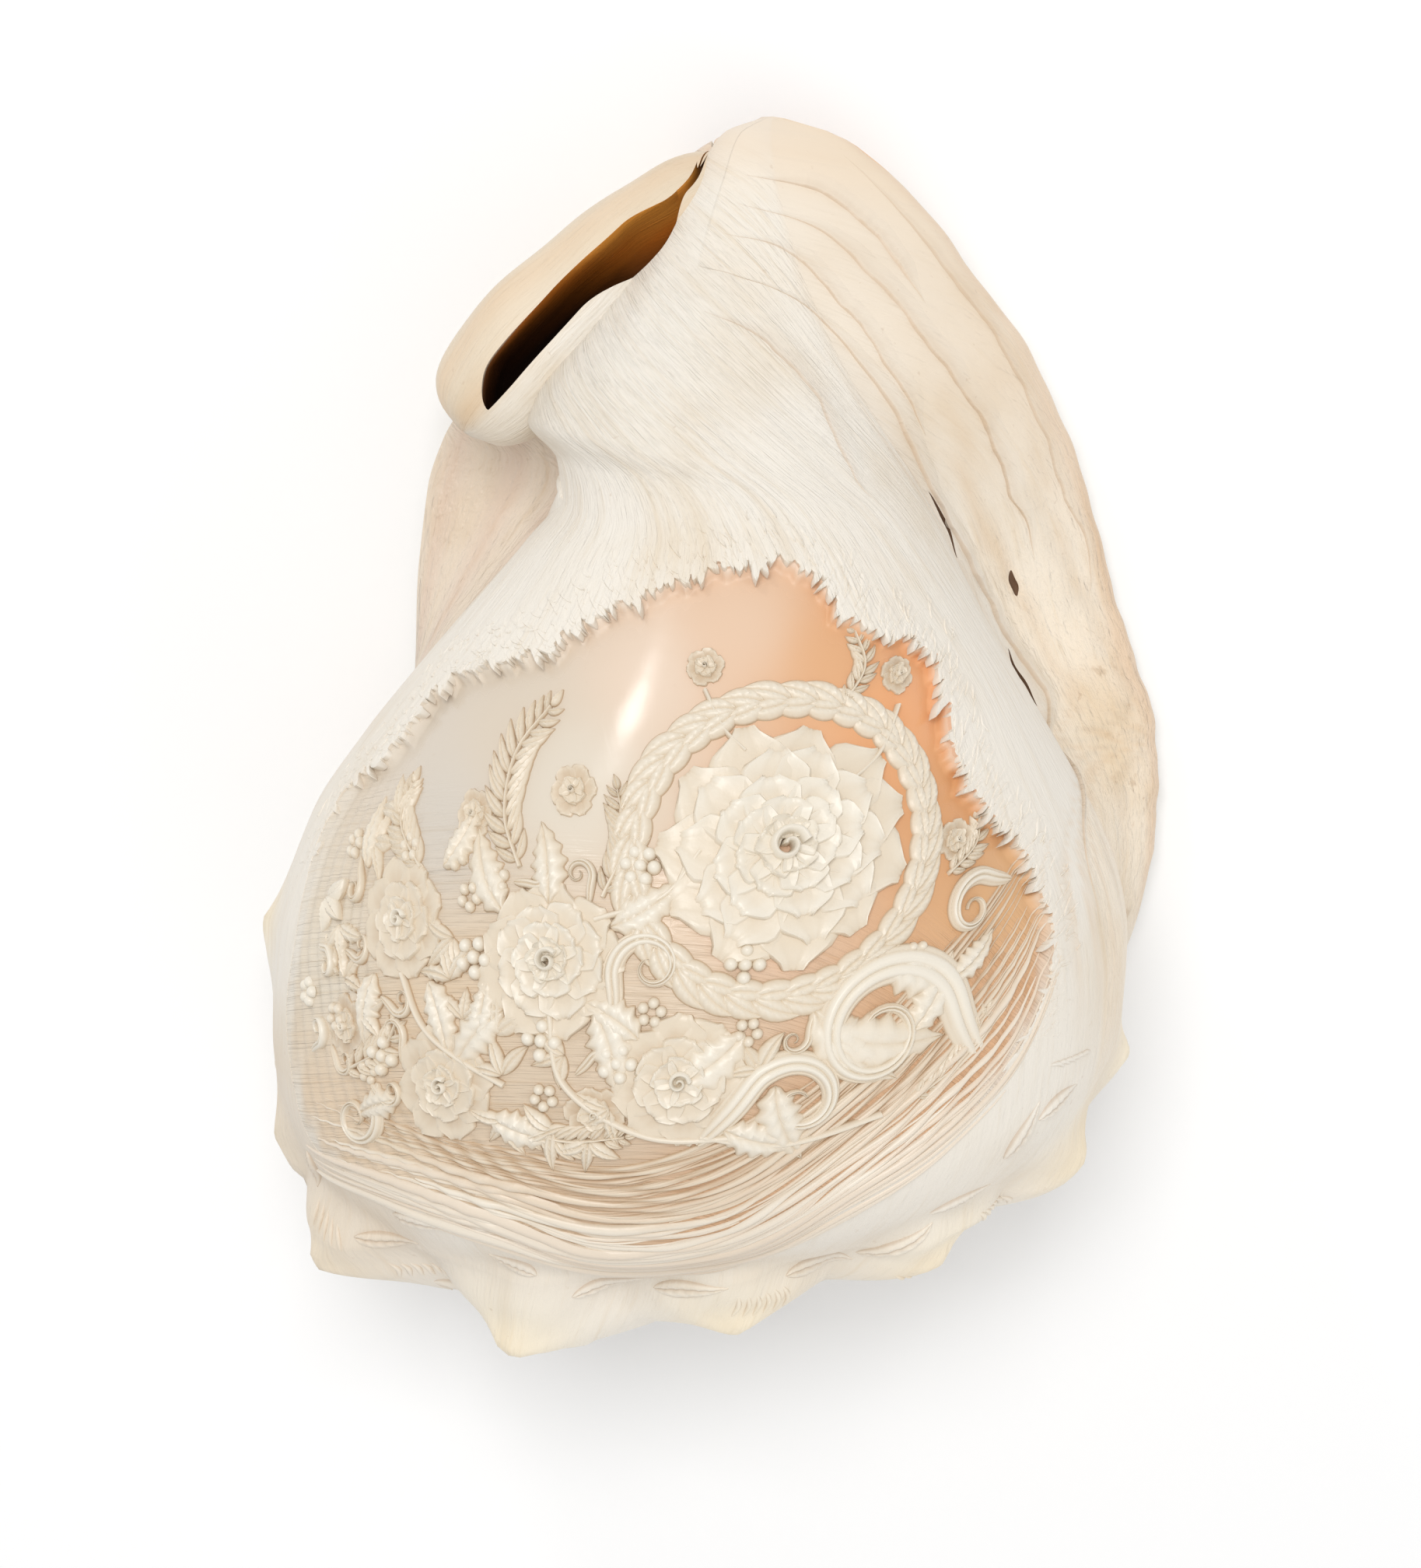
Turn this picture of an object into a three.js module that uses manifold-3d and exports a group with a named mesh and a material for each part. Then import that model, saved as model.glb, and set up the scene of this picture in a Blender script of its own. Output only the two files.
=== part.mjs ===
// A carved helmet shell, lying on its aperture as one solid piece.
// Millimetres, +Z up. +Y runs along the shell from the spire to the siphonal canal, and the
// outer lip is on the +X side. The origin is the middle of the part's box, at its foot.
//
// The outside is lofted through closed sections that stand across the shell. Each section has
// four stretches: the top of the outer lip, the domed body whorl, the top of the columellar
// shield, and the flat underside. Towards the spire the sections turn into plain leaning rings,
// which close on the apex. The siphonal canal is a tube that bends up and back over the front
// end. The aperture and the canal's slot are one long cut along a single line.
import * as THREE from "three";
import Module from "manifold-3d";
import { mergeVertices } from "three/addons/utils/BufferGeometryUtils.js";

const TAU = 2 * Math.PI;
const wasm = await Module();
wasm.setup();

// Driving sizes. Stations run along the shell, from the shoulder to the front end.
const SHOULDER_STATION = 37;
const FRONT_STATION = 230.5;
const APEX = [-3, 4.5, 42];
const KNOB_CENTRE = [2, 52, 50]; // the shoulder knobs point away from here
const UNDERSIDE_CLEARANCE = 3; // how far a plain ring stays above the surface it lies on
const SHELL_COLOUR = 0xeee3cf;

// A smooth line through (place, value) knots that never overshoots them (monotone cubic).
function curve(knots) {
  const x = knots.map((k) => k[0]);
  const y = knots.map((k) => k[1]);
  const last = x.length - 1;
  const slope = (i) => (y[i + 1] - y[i]) / (x[i + 1] - x[i]);
  const tangent = x.map((_, i) => {
    if (i === 0) return slope(0);
    if (i === last) return slope(last - 1);
    const before = slope(i - 1);
    const after = slope(i);
    if (before * after <= 0) return 0;
    const h0 = x[i] - x[i - 1];
    const h1 = x[i + 1] - x[i];
    return (3 * (h0 + h1)) / ((2 * h1 + h0) / before + (h1 + 2 * h0) / after);
  });
  return (at) => {
    const t = Math.min(Math.max(at, x[0]), x[last]);
    let i = 0;
    while (i < last - 1 && t >= x[i + 1]) i += 1;
    const h = x[i + 1] - x[i];
    const q = (t - x[i]) / h;
    return (
      (1 + 2 * q) * (1 - q) ** 2 * y[i] +
      q * (1 - q) ** 2 * h * tangent[i] +
      q * q * (3 - 2 * q) * y[i + 1] +
      q * q * (q - 1) * h * tangent[i + 1]
    );
  };
}

const mix = (a, b, t) => a + (b - a) * t;
const mixPoints = (a, b, t) => a.map((v, i) => mix(v, b[i], t));
const smooth = (low, high, at) => {
  const t = Math.min(Math.max((at - low) / (high - low), 0), 1);
  return t * t * (3 - 2 * t);
};

// The body whorl: its reach to the left and right, its top, and the level where it is widest.
const bodyLeft = curve([
  [37, -67], [50, -73], [65, -77.5], [82, -79], [97, -76], [110, -69], [122, -61],
  [134, -52.5], [147, -43.5], [155, -39], [162, -40.5], [168, -47], [173, -46.5],
  [185, -40], [196, -33.5], [207, -28], [217, -23], [226, -19], [230.5, -11],
]);
const bodyRight = curve([
  [37, 71], [50, 76], [65, 79.5], [80, 78.5], [95, 74.5], [110, 66.5], [122, 58.5],
  [134, 50], [147, 41], [160, 32.5], [175, 23.5], [190, 15], [205, 6], [217, -1],
  [226, -5.5], [230.5, -10],
]);
const bodyTop = curve([
  [37, 97], [50, 108], [65, 117], [80, 121], [95, 120], [110, 115], [125, 107],
  [140, 97], [155, 86], [170, 74], [185, 63], [200, 53], [215, 42], [226, 33],
  [230.5, 24],
]);
const bodyMiddle = curve([[37, 50], [80, 48], [110, 46], [140, 42], [170, 40], [200, 38], [230.5, 24]]);
// A section leans back by this much for each millimetre of height, and turns for each of width.
const lean = curve([[37, 0.34], [80, 0.22], [120, 0.1], [160, 0], [230.5, 0]]);
const turn = curve([[37, 0.2], [80, 0.13], [120, 0.06], [160, 0], [230.5, 0]]);

// The outer lip: reach, height of its edge, and thickness.
const lipReach = curve([
  [40, 72], [50, 78], [60, 81.5], [70, 84], [82, 85.5], [96, 85], [116, 82], [133, 76],
  [151, 69], [168, 61.7], [183.5, 53], [197, 43], [207, 32.5], [219, 19.5], [226, 9],
  [229, 2], [230.5, -10],
]);
const lipHeight = curve([[40, 22], [60, 14], [80, 10], [150, 9], [185, 11], [207, 16], [219, 20], [230.5, 23]]);
const lipThickness = curve([[40, 9], [80, 10], [150, 9], [200, 8], [230.5, 4]]);
// The columellar shield: reach, height of its edge, and thickness.
const shieldReach = curve([
  [40, -64], [80, -66], [100, -63], [116, -64.5], [136, -66.5], [150, -66.8],
  [160, -65], [170, -60], [180, -52], [195, -42], [210, -32], [222, -24], [230.5, -12],
]);
const shieldHeight = curve([[40, 16], [90, 7], [150, 6], [180, 12], [210, 17], [230.5, 22]]);
const shieldThickness = curve([[40, 7], [90, 5], [150, 4.5], [200, 6], [230.5, 4]]);
// The underside lifts off the surface at the front end.
const frontLift = curve([[37, 0], [192, 0], [212, 5], [224, 12], [230.5, 20]]);
// The flat strips near both edges of the underside, which carry the shell.
const STRIP_START = 5;
const STRIP_END = 10;
const HOLLOW_START = 24;
const HOLLOW_HEIGHT = 3.5;

// Where the stretches of a section meet, as angles about its middle, in degrees.
const UNDER_LIP = -38;
const LEFT_JOIN = 198;
const UNDER_SHIELD = 218;
const rightJoin = curve([[37, -18], [130, -18], [160, 5], [190, 45], [215, 62], [230.5, 70]]);

const LIP_SAMPLES = 5;
const BODY_SAMPLES = 34;
const SHIELD_SAMPLES = 5;
// Places along the underside, from the shield's edge to the lip's: as a share of each edge zone,
// or of the middle between the two zones.
const EDGE_PLACES = [0, 2.5, STRIP_START, STRIP_END, 16];
const MIDDLE_PLACES = [0, 0.16, 0.34, 0.52, 0.7, 0.86, 1];

function bezier(p0, p1, p2, p3, t) {
  const s = 1 - t;
  return p0.map((v, i) => s ** 3 * v + 3 * s * s * t * p1[i] + 3 * s * t * t * p2[i] + t ** 3 * p3[i]);
}

// The height of the underside at a distance from the nearest edge.
function undersideHeight(distance, edgeHeight) {
  if (distance < STRIP_START) return edgeHeight * (1 - smooth(0, STRIP_START, distance));
  if (distance < STRIP_END) return 0;
  return HOLLOW_HEIGHT * smooth(STRIP_END, HOLLOW_START, distance);
}

// One closed section at a station, as points on the shell, going over the top from the lip.
function section(station) {
  const l = bodyLeft(station);
  const r = bodyRight(station);
  const middle = bodyMiddle(station);
  const centre = (l + r) / 2;
  const half = (r - l) / 2;
  const up = bodyTop(station) - middle;
  const down = middle - UNDERSIDE_CLEARANCE - frontLift(station);
  const ring = (degrees) => {
    const a = THREE.MathUtils.degToRad(degrees);
    const s = Math.sin(a);
    return [centre + half * Math.cos(a), middle + (s > 0 ? up : down) * s];
  };
  const join = rightJoin(station);
  const rightEnd = ring(join);
  const leftEnd = ring(LEFT_JOIN);
  const lipEdge = [lipReach(station), lipHeight(station) - 0.35 * lipThickness(station)];
  const shieldEdge = [shieldReach(station), shieldHeight(station) - 0.4 * shieldThickness(station)];
  const flow = smooth(135, 200, station); // how far the lip's top is one slope with the body
  const drop = rightEnd[1] - lipHeight(station);
  const lipWidth = Math.max(lipEdge[0] - rightEnd[0], 0.5);
  const shieldWidth = Math.max(leftEnd[0] - shieldEdge[0], 0.5);
  const dressed = smooth(30, 66, station); // 0 is a plain ring, 1 has the lip and the shield
  const points = [];
  const put = (degrees, shaped) => points.push(mixPoints(ring(degrees), shaped, dressed));

  for (let i = 0; i < LIP_SAMPLES; i += 1) {
    const t = i / LIP_SAMPLES;
    put(
      mix(UNDER_LIP, join, t),
      bezier(
        lipEdge,
        [lipEdge[0] - 0.02 * lipWidth, lipEdge[1] + 0.75 * lipThickness(station) + 0.25 * flow * drop],
        [rightEnd[0] + (0.1 + 0.4 * flow) * lipWidth, rightEnd[1] - drop * (0.9 - 0.72 * flow)],
        rightEnd,
        t,
      ),
    );
  }
  for (let i = 0; i < BODY_SAMPLES; i += 1) {
    const degrees = mix(join, LEFT_JOIN, i / BODY_SAMPLES);
    put(degrees, ring(degrees));
  }
  for (let i = 0; i < SHIELD_SAMPLES; i += 1) {
    const t = i / SHIELD_SAMPLES;
    put(
      mix(LEFT_JOIN, UNDER_SHIELD, t),
      bezier(
        leftEnd,
        [leftEnd[0], leftEnd[1] - 0.9 * (leftEnd[1] - shieldHeight(station))],
        [shieldEdge[0] + 0.25 * shieldWidth, shieldEdge[1] + 0.6 * shieldThickness(station)],
        shieldEdge,
        t,
      ),
    );
  }
  const width = lipEdge[0] - shieldEdge[0];
  const zone = Math.min(HOLLOW_START, 0.35 * width);
  const under = [
    ...EDGE_PLACES.map((d) => [(d * zone) / HOLLOW_START, d, shieldEdge[1]]),
    ...MIDDLE_PLACES.map((s) => [mix(zone, width - zone, s), HOLLOW_START, 0]),
    ...[...EDGE_PLACES].reverse().map((d) => [width - (d * zone) / HOLLOW_START, d, lipEdge[1]]),
  ].slice(0, -1);
  const edgeLift = frontLift(station);
  for (const [along, distance, edgeHeight] of under) {
    const height = undersideHeight(distance, Math.max(edgeHeight - edgeLift, 0.5)) + edgeLift;
    put(mix(UNDER_SHIELD, 360 + UNDER_LIP, along / width), [shieldEdge[0] + along, height]);
  }
  return points.map(([x, z]) => {
    const above = Math.max(z, 0);
    return [x, station + turn(station) * (x - centre) - lean(station) * (z - middle), above];
  });
}

// The spire: the shoulder's ring shrinks on to the apex, and a step winds round it like a
// sutured spiral, each whorl a fixed share of the one outside it.
const WHORL_RATIO = 0.56;
const SUTURE_STEP = 3.4;
function spireRing(share, rim) {
  const centre = [0, 1, 2].map((i) => rim.reduce((sum, p) => sum + p[i], 0) / rim.length);
  const rise = 1 - share ** 1.35;
  const axis = new THREE.Vector3(...APEX).sub(new THREE.Vector3(...centre)).normalize();
  return rim.map((p) => {
    const place = [0, 1, 2].map(
      (i) => mix(centre[i], APEX[i], rise) + (p[i] - centre[i]) * share,
    );
    const angle = Math.atan2(p[2] - centre[2], p[0] - centre[0]);
    const phase = Math.log(share) / Math.log(WHORL_RATIO) + angle / TAU;
    const within = phase - Math.floor(phase);
    const step = SUTURE_STEP * Math.sqrt(share) * (1 - smooth(0.72, 0.98, share)) * (within - 0.5);
    return [place[0] - axis.x * step, place[1] - axis.y * step, place[2] - axis.z * step];
  });
}

// A closed mesh through rings of equal length, with a point at each end.
function loft(rings, startPoint, endPoint) {
  const n = rings[0].length;
  const positions = [startPoint, ...rings.flat(), endPoint].flat();
  const end = rings.length * n + 1;
  const at = (ring, i) => 1 + ring * n + (i % n);
  const faces = [];
  for (let i = 0; i < n; i += 1) {
    faces.push(0, at(0, i + 1), at(0, i));
    faces.push(end, at(rings.length - 1, i), at(rings.length - 1, i + 1));
    for (let k = 0; k + 1 < rings.length; k += 1) {
      faces.push(at(k, i), at(k, i + 1), at(k + 1, i + 1));
      faces.push(at(k, i), at(k + 1, i + 1), at(k + 1, i));
    }
  }
  const geometry = new THREE.BufferGeometry();
  geometry.setAttribute("position", new THREE.Float32BufferAttribute(positions, 3));
  geometry.setIndex(faces);
  return geometry;
}

// A three.js geometry as a solid, with its faces turned to point outwards.
function solid(geometry) {
  const plain = geometry.clone();
  plain.deleteAttribute("normal");
  plain.deleteAttribute("uv");
  const merged = mergeVertices(plain, 1e-4);
  const triVerts = new Uint32Array(merged.index.array);
  const build = () =>
    new wasm.Manifold(new wasm.Mesh({ numProp: 3, vertProperties: merged.attributes.position.array, triVerts }));
  const made = build();
  if (made.volume() > 0) return made;
  for (let i = 0; i < triVerts.length; i += 3) {
    [triVerts[i + 1], triVerts[i + 2]] = [triVerts[i + 2], triVerts[i + 1]];
  }
  return build();
}

// Rings across a line of points: each ring is shape(i) in the plane of the side and outward
// directions, which stand square to the line.
function sweep(points, outward, shape) {
  const rings = points.map((p, i) => {
    const before = points[Math.max(i - 1, 0)];
    const after = points[Math.min(i + 1, points.length - 1)];
    const along = after.clone().sub(before).normalize();
    const out = outward[i].clone().addScaledVector(along, -outward[i].dot(along)).normalize();
    const side = new THREE.Vector3().crossVectors(along, out);
    return shape(i).map(([s, o]) => p.clone().addScaledVector(side, s).addScaledVector(out, o).toArray());
  });
  return loft(rings, points[0].toArray(), points[points.length - 1].toArray());
}

// The siphonal canal: centre x, y, z and radius, from inside the front of the base, up over the
// front end and back along the left.
const CANAL = [
  [4, 178, 17, 15], [-4, 196, 18, 15], [-13, 208, 20, 13.5], [-21.5, 211, 26, 11],
  [-29.5, 205, 33, 10.8], [-39.5, 192.5, 36, 12], [-48.5, 180.5, 36.5, 12.8],
  [-54.5, 171, 36.5, 11.5], [-57.5, 166, 36.5, 8], [-58.7, 163.8, 36.5, 2],
];
const CANAL_STEPS = 24;
const CANAL_SIDES = 14;
function canal() {
  const line = new THREE.CatmullRomCurve3(CANAL.map(([x, y, z]) => new THREE.Vector3(x, y, z)));
  const radius = curve(CANAL.map((k, i) => [i / (CANAL.length - 1), k[3]]));
  const shares = Array.from({ length: CANAL_STEPS + 1 }, (_, i) => i / CANAL_STEPS);
  const points = shares.map((s) => line.getPoint(s));
  const outward = points.map(() => new THREE.Vector3(0, 0.3, 1));
  return sweep(points, outward, (i) =>
    Array.from({ length: CANAL_SIDES }, (_, k) => {
      const a = (TAU * k) / CANAL_SIDES;
      return [radius(shares[i]) * Math.cos(a), radius(shares[i]) * Math.sin(a)];
    }),
  );
}

// The shoulder knobs: tip x, y, z, height above the shell, and radius at the foot.
const KNOBS = [
  [-82, 69, 50, 6, 10], [-77, 40, 44, 6, 9], [-73.5, 30.5, 60, 7, 9], [-62, 10.2, 70, 12, 12],
  [-24, 3, 84, 17, 14], [16.5, 13.8, 86, 16, 14], [52, 30.6, 78, 15, 13], [76, 50.3, 64, 13, 12],
  [82.6, 68.6, 48, 10, 11], [-74, 36, 25, 6, 9], [-52, 35, 12, 5, 9],
];
const KNOB_SIDES = 8;
function knob([x, y, z, height, radius]) {
  const profile = [
    [0, -14], [1.3, -14], [1.12, -0.15 * height], [0.78, 0.22 * height], [0.45, 0.6 * height],
    [0.2, 0.88 * height], [0, height],
  ].map(([r, h]) => new THREE.Vector2(r * radius, h));
  const tip = new THREE.Vector3(x, y, z);
  const out = tip.clone().sub(new THREE.Vector3(...KNOB_CENTRE)).normalize();
  const geometry = new THREE.LatheGeometry(profile, KNOB_SIDES);
  geometry.applyQuaternion(new THREE.Quaternion().setFromUnitVectors(new THREE.Vector3(0, 1, 0), out));
  const foot = tip.addScaledVector(out, -height);
  return geometry.translate(foot.x, foot.y, foot.z);
}

// The aperture and the canal's slot: mouth x, y, z, half width, depth, and outward direction.
const SLIT = [
  [23, 47, 2, 1.5, 14, 0, -0.2, -1], [22, 58, 1, 4, 26, 0, 0, -1], [19, 78, 1, 6, 38, 0, 0, -1],
  [15, 100, 1, 6.5, 42, 0, 0, -1], [10, 130, 1, 6.5, 40, 0, 0, -1], [4, 158, 1, 6, 32, 0, 0, -1],
  [-4, 184, 1, 5, 22, 0, 0.1, -1], [-11.5, 206, 3, 4, 13, 0, 0.3, -1], [-17, 218, 8, 3, 10, -0.1, 0.8, -0.7],
  [-20.5, 224, 18, 2.2, 9, -0.2, 1, 0], [-22.5, 224, 30, 2, 9, -0.3, 0.9, 0.4],
  [-25, 217.5, 42, 2.8, 13, -0.3, 0.4, 1], [-32.5, 203, 48, 4.6, 19, -0.3, 0.2, 1],
  [-41.5, 189.5, 50, 5.8, 22, -0.3, 0.1, 1], [-49.5, 177, 50, 5.6, 20, -0.3, 0, 1],
  [-54.5, 169, 49, 3.6, 15, -0.3, 0, 1],
];
const SLIT_STEPS = 84;
const SLIT_OVERSHOOT = 6; // the cutter stands this far out of the shell
const TEETH_END = 0.5; // the teeth stop at this share of the line
const TOOTH_COUNT = 15;
const TOOTH_DEPTH = 1.3;
function slitCutter() {
  const line = new THREE.CatmullRomCurve3(SLIT.map(([x, y, z]) => new THREE.Vector3(x, y, z)));
  const column = (c) => curve(SLIT.map((k, i) => [i / (SLIT.length - 1), k[c]]));
  const [halfWidth, depth, outX, outY, outZ] = [3, 4, 5, 6, 7].map(column);
  // Close steps along the teeth, and longer ones beyond them.
  const teethSteps = 4 * TOOTH_COUNT;
  const shares = Array.from({ length: SLIT_STEPS + 1 }, (_, i) =>
    i < teethSteps
      ? (TEETH_END * i) / teethSteps
      : mix(TEETH_END, 1, (i - teethSteps) / (SLIT_STEPS - teethSteps)),
  );
  const points = shares.map((s) => line.getPoint(s));
  const outward = shares.map((s) => new THREE.Vector3(outX(s), outY(s), outZ(s)));
  return sweep(points, outward, (i) => {
    const s = shares[i];
    const toothed = smooth(0.02, 0.06, s) * (1 - smooth(TEETH_END - 0.05, TEETH_END, s));
    const tooth = TOOTH_DEPTH * toothed * Math.cos((TAU * TOOTH_COUNT * s) / TEETH_END);
    const w = halfWidth(s) + tooth;
    const inner = halfWidth(s) + 0.5;
    const d = depth(s);
    return [
      [-w - 1, SLIT_OVERSHOOT], [-w, -2], [-inner, -0.5 * d], [-0.8 * inner, -0.85 * d], [0, -d],
      [0.8 * inner, -0.85 * d], [inner, -0.5 * d], [w, -2], [w + 1, SLIT_OVERSHOOT],
    ];
  });
}

// Stations bunch towards both ends, where the form turns fastest.
const STATION_COUNT = 46;
const SPIRE_SHARES = [0.07, 0.14, 0.22, 0.31, 0.42, 0.54, 0.66, 0.77, 0.87, 0.95];
function body() {
  const stations = Array.from({ length: STATION_COUNT }, (_, i) => {
    const t = (i / STATION_COUNT) ** 0.92;
    return mix(SHOULDER_STATION, FRONT_STATION, 0.35 * t + 0.65 * Math.sin((t * Math.PI) / 2) ** 1.15);
  });
  const rings = stations.map(section);
  const spire = SPIRE_SHARES.map((share) => spireRing(share, rings[0]));
  return loft([...spire, ...rings], APEX, [-10.5, FRONT_STATION, 23]);
}

// The whole shell: the body, the canal and the knobs joined, and the slit cut out.
function shell() {
  let made = solid(body()).add(solid(canal()));
  for (const k of KNOBS) made = made.add(solid(knob(k)));
  made = made.subtract(solid(slitCutter()));
  const largest = made.decompose().sort((a, b) => b.volume() - a.volume())[0];
  const mesh = largest.getMesh();
  const geometry = new THREE.BufferGeometry();
  geometry.setAttribute("position", new THREE.Float32BufferAttribute(mesh.vertProperties, 3));
  geometry.setIndex(new THREE.Uint32BufferAttribute(mesh.triVerts, 1));
  geometry.computeVertexNormals();
  return geometry;
}

const group = new THREE.Group();
const shellMesh = new THREE.Mesh(
  shell(),
  new THREE.MeshStandardMaterial({ color: SHELL_COLOUR, roughness: 0.5, metalness: 0 }),
);
shellMesh.name = "shell";
const box = new THREE.Box3().setFromBufferAttribute(shellMesh.geometry.getAttribute("position"));
const middle = box.getCenter(new THREE.Vector3());
shellMesh.position.set(-middle.x, -middle.y, -box.min.z);
group.add(shellMesh);

export default group;
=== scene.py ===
"""Dresses the helmet shell: fine surface, growth lines, carved cameo panel and its colours.

The shell is built here again from the same formulas as the solid part, on a finer grid, in
millimetres, and turned into metres at the end. Its carving is made of strokes: closed swept
ridges, each a path over the skin with a width, a height and a cross-section.
"""
import math

import bpy
import numpy as np
from mathutils import Matrix


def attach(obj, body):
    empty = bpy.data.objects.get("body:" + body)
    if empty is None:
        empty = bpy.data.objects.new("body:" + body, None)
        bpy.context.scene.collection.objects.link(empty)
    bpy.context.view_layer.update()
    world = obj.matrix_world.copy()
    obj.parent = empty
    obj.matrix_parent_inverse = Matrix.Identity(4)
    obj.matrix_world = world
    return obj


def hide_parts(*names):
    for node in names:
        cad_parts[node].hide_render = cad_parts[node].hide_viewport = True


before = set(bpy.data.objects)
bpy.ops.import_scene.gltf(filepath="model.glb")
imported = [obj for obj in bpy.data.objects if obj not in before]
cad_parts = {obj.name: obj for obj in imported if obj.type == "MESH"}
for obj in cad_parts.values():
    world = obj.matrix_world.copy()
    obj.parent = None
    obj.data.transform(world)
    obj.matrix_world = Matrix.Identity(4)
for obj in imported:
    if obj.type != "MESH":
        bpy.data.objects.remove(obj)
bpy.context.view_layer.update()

TAU = 2 * math.pi
SHIFT = np.array([-1.747, -116.892, 0.0])  # from the drawing's origin to the part's
rng = np.random.default_rng(11)

# Lines through knots


def curve(knots):
    """A monotone cubic through (place, value) knots, level outside them."""
    x, y = np.array(knots, float).T
    h = np.diff(x)
    s = np.diff(y) / h
    d = np.concatenate([[s[0]], np.zeros(len(x) - 2), [s[-1]]])
    same = s[:-1] * s[1:] > 0
    before, after = s[:-1][same], s[1:][same]
    h0, h1 = h[:-1][same], h[1:][same]
    d[1:-1][same] = 3 * (h0 + h1) / ((2 * h1 + h0) / before + (h1 + 2 * h0) / after)

    def at(t):
        """The Hermite cubic of the two knots on either side of t."""
        t = np.clip(np.asarray(t, float), x[0], x[-1])
        i = np.clip(np.searchsorted(x, t, side="right") - 1, 0, len(x) - 2)
        q = (t - x[i]) / h[i]
        return (
            (1 + 2 * q) * (1 - q) ** 2 * y[i]
            + q * (1 - q) ** 2 * h[i] * d[i]
            + q * q * (3 - 2 * q) * y[i + 1]
            + q * q * (q - 1) * h[i] * d[i + 1]
        )

    return at


def smooth(low, high, at):
    """0 up to low, 1 from high on, and 3 t squared less 2 t cubed in between."""
    t = np.clip((np.asarray(at, float) - low) / (high - low), 0, 1)
    return t * t * (3 - 2 * t)


def between(p, i, f):
    """The Catmull-Rom point at share f of the way from knot i + 1 to knot i + 2 of p."""
    a, b, c, d = p[i], p[i + 1], p[i + 2], p[i + 3]
    curved = (2 * a - 5 * b + 4 * c - d) * f**2 + (3 * b - a - 3 * c + d) * f**3
    return 0.5 * (2 * b + (c - a) * f + curved)


def spline(keys, n):
    """n points, evenly spaced along a Catmull-Rom line through the key points."""
    keys = np.asarray(keys, float)
    if len(keys) == 2:
        keys = np.array([keys[0], keys.mean(0), keys[1]])
    p = np.vstack([2 * keys[0] - keys[1], keys, 2 * keys[-1] - keys[-2]])
    t = np.linspace(0, len(keys) - 1, 24 * len(keys))
    i = np.minimum(t.astype(int), len(keys) - 2)
    q = between(p, i, (t - i)[:, None])
    far = np.concatenate([[0], np.cumsum(np.linalg.norm(np.diff(q, axis=0), axis=1))])
    want = np.linspace(0, far[-1], n)
    return np.stack([np.interp(want, far, q[:, k]) for k in range(q.shape[1])], 1)


# The shell's form
SHOULDER, FRONT = 37.0, 230.5
APEX = np.array([-3, 4.5, 42.0])
body_left = curve([
    (37, -67), (50, -73), (65, -77.5), (82, -79), (97, -76), (110, -69), (122, -61), (134, -52.5),
    (147, -43.5), (155, -39), (162, -40.5), (168, -47), (173, -46.5), (185, -40), (196, -33.5),
    (207, -28), (217, -23), (226, -19), (230.5, -11)])
body_right = curve([
    (37, 71), (50, 76), (65, 79.5), (80, 78.5), (95, 74.5), (110, 66.5), (122, 58.5), (134, 50),
    (147, 41), (160, 32.5), (175, 23.5), (190, 15), (205, 6), (217, -1), (226, -5.5), (230.5, -10)])
body_top = curve([
    (37, 97), (50, 108), (65, 117), (80, 121), (95, 120), (110, 115), (125, 107), (140, 97),
    (155, 86), (170, 74), (185, 63), (200, 53), (215, 42), (226, 33), (230.5, 24)])
body_middle = curve([(37, 50), (80, 48), (110, 46), (140, 42), (170, 40), (200, 38), (230.5, 24)])
lean = curve([(37, 0.34), (80, 0.22), (120, 0.10), (160, 0), (230.5, 0)])
turn = curve([(37, 0.20), (80, 0.13), (120, 0.06), (160, 0), (230.5, 0)])
lip_reach = curve([
    (40, 73), (50, 80), (60, 83.8), (70, 85.2), (82, 85.8), (96, 85), (116, 82), (133, 76), (151, 69),
    (168, 61.7), (183.5, 53), (197, 43), (207, 32.5), (219, 19.5), (226, 9), (229, 2), (230.5, -10)])
lip_height = curve([
    (40, 22), (60, 14), (80, 10), (150, 9), (185, 11), (207, 16), (219, 20), (230.5, 23)])
lip_thick = curve([(40, 9), (80, 10), (150, 9), (200, 8), (230.5, 4)])
shield_reach = curve([
    (40, -64), (80, -66), (100, -63), (116, -64.5), (136, -66.5), (150, -66.8), (160, -65),
    (170, -60), (180, -52), (195, -42), (210, -32), (222, -24), (230.5, -12)])
shield_height = curve([(40, 16), (90, 7), (150, 6), (180, 12), (210, 17), (230.5, 22)])
shield_thick = curve([(40, 7), (90, 5), (150, 4.5), (200, 6), (230.5, 4)])
front_lift = curve([(37, 0), (192, 0), (212, 5), (224, 12), (230.5, 20)])
right_join = curve([(37, -18), (130, -18), (160, 5), (190, 45), (215, 62), (230.5, 70)])
UNDER_LIP, LEFT_JOIN, UNDER_SHIELD = -38.0, 198.0, 218.0
N_LIP, N_BODY, N_SHIELD, N_UNDER = 16, 150, 14, 32


def bezier(p, t):
    """The cubic Bezier curve of four control values, at t from 0 to 1."""
    s = 1 - t
    w = [s**3, 3 * s * s * t, 3 * s * t * t, t**3]
    return sum(w[k] * p[k] for k in range(4))


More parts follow.
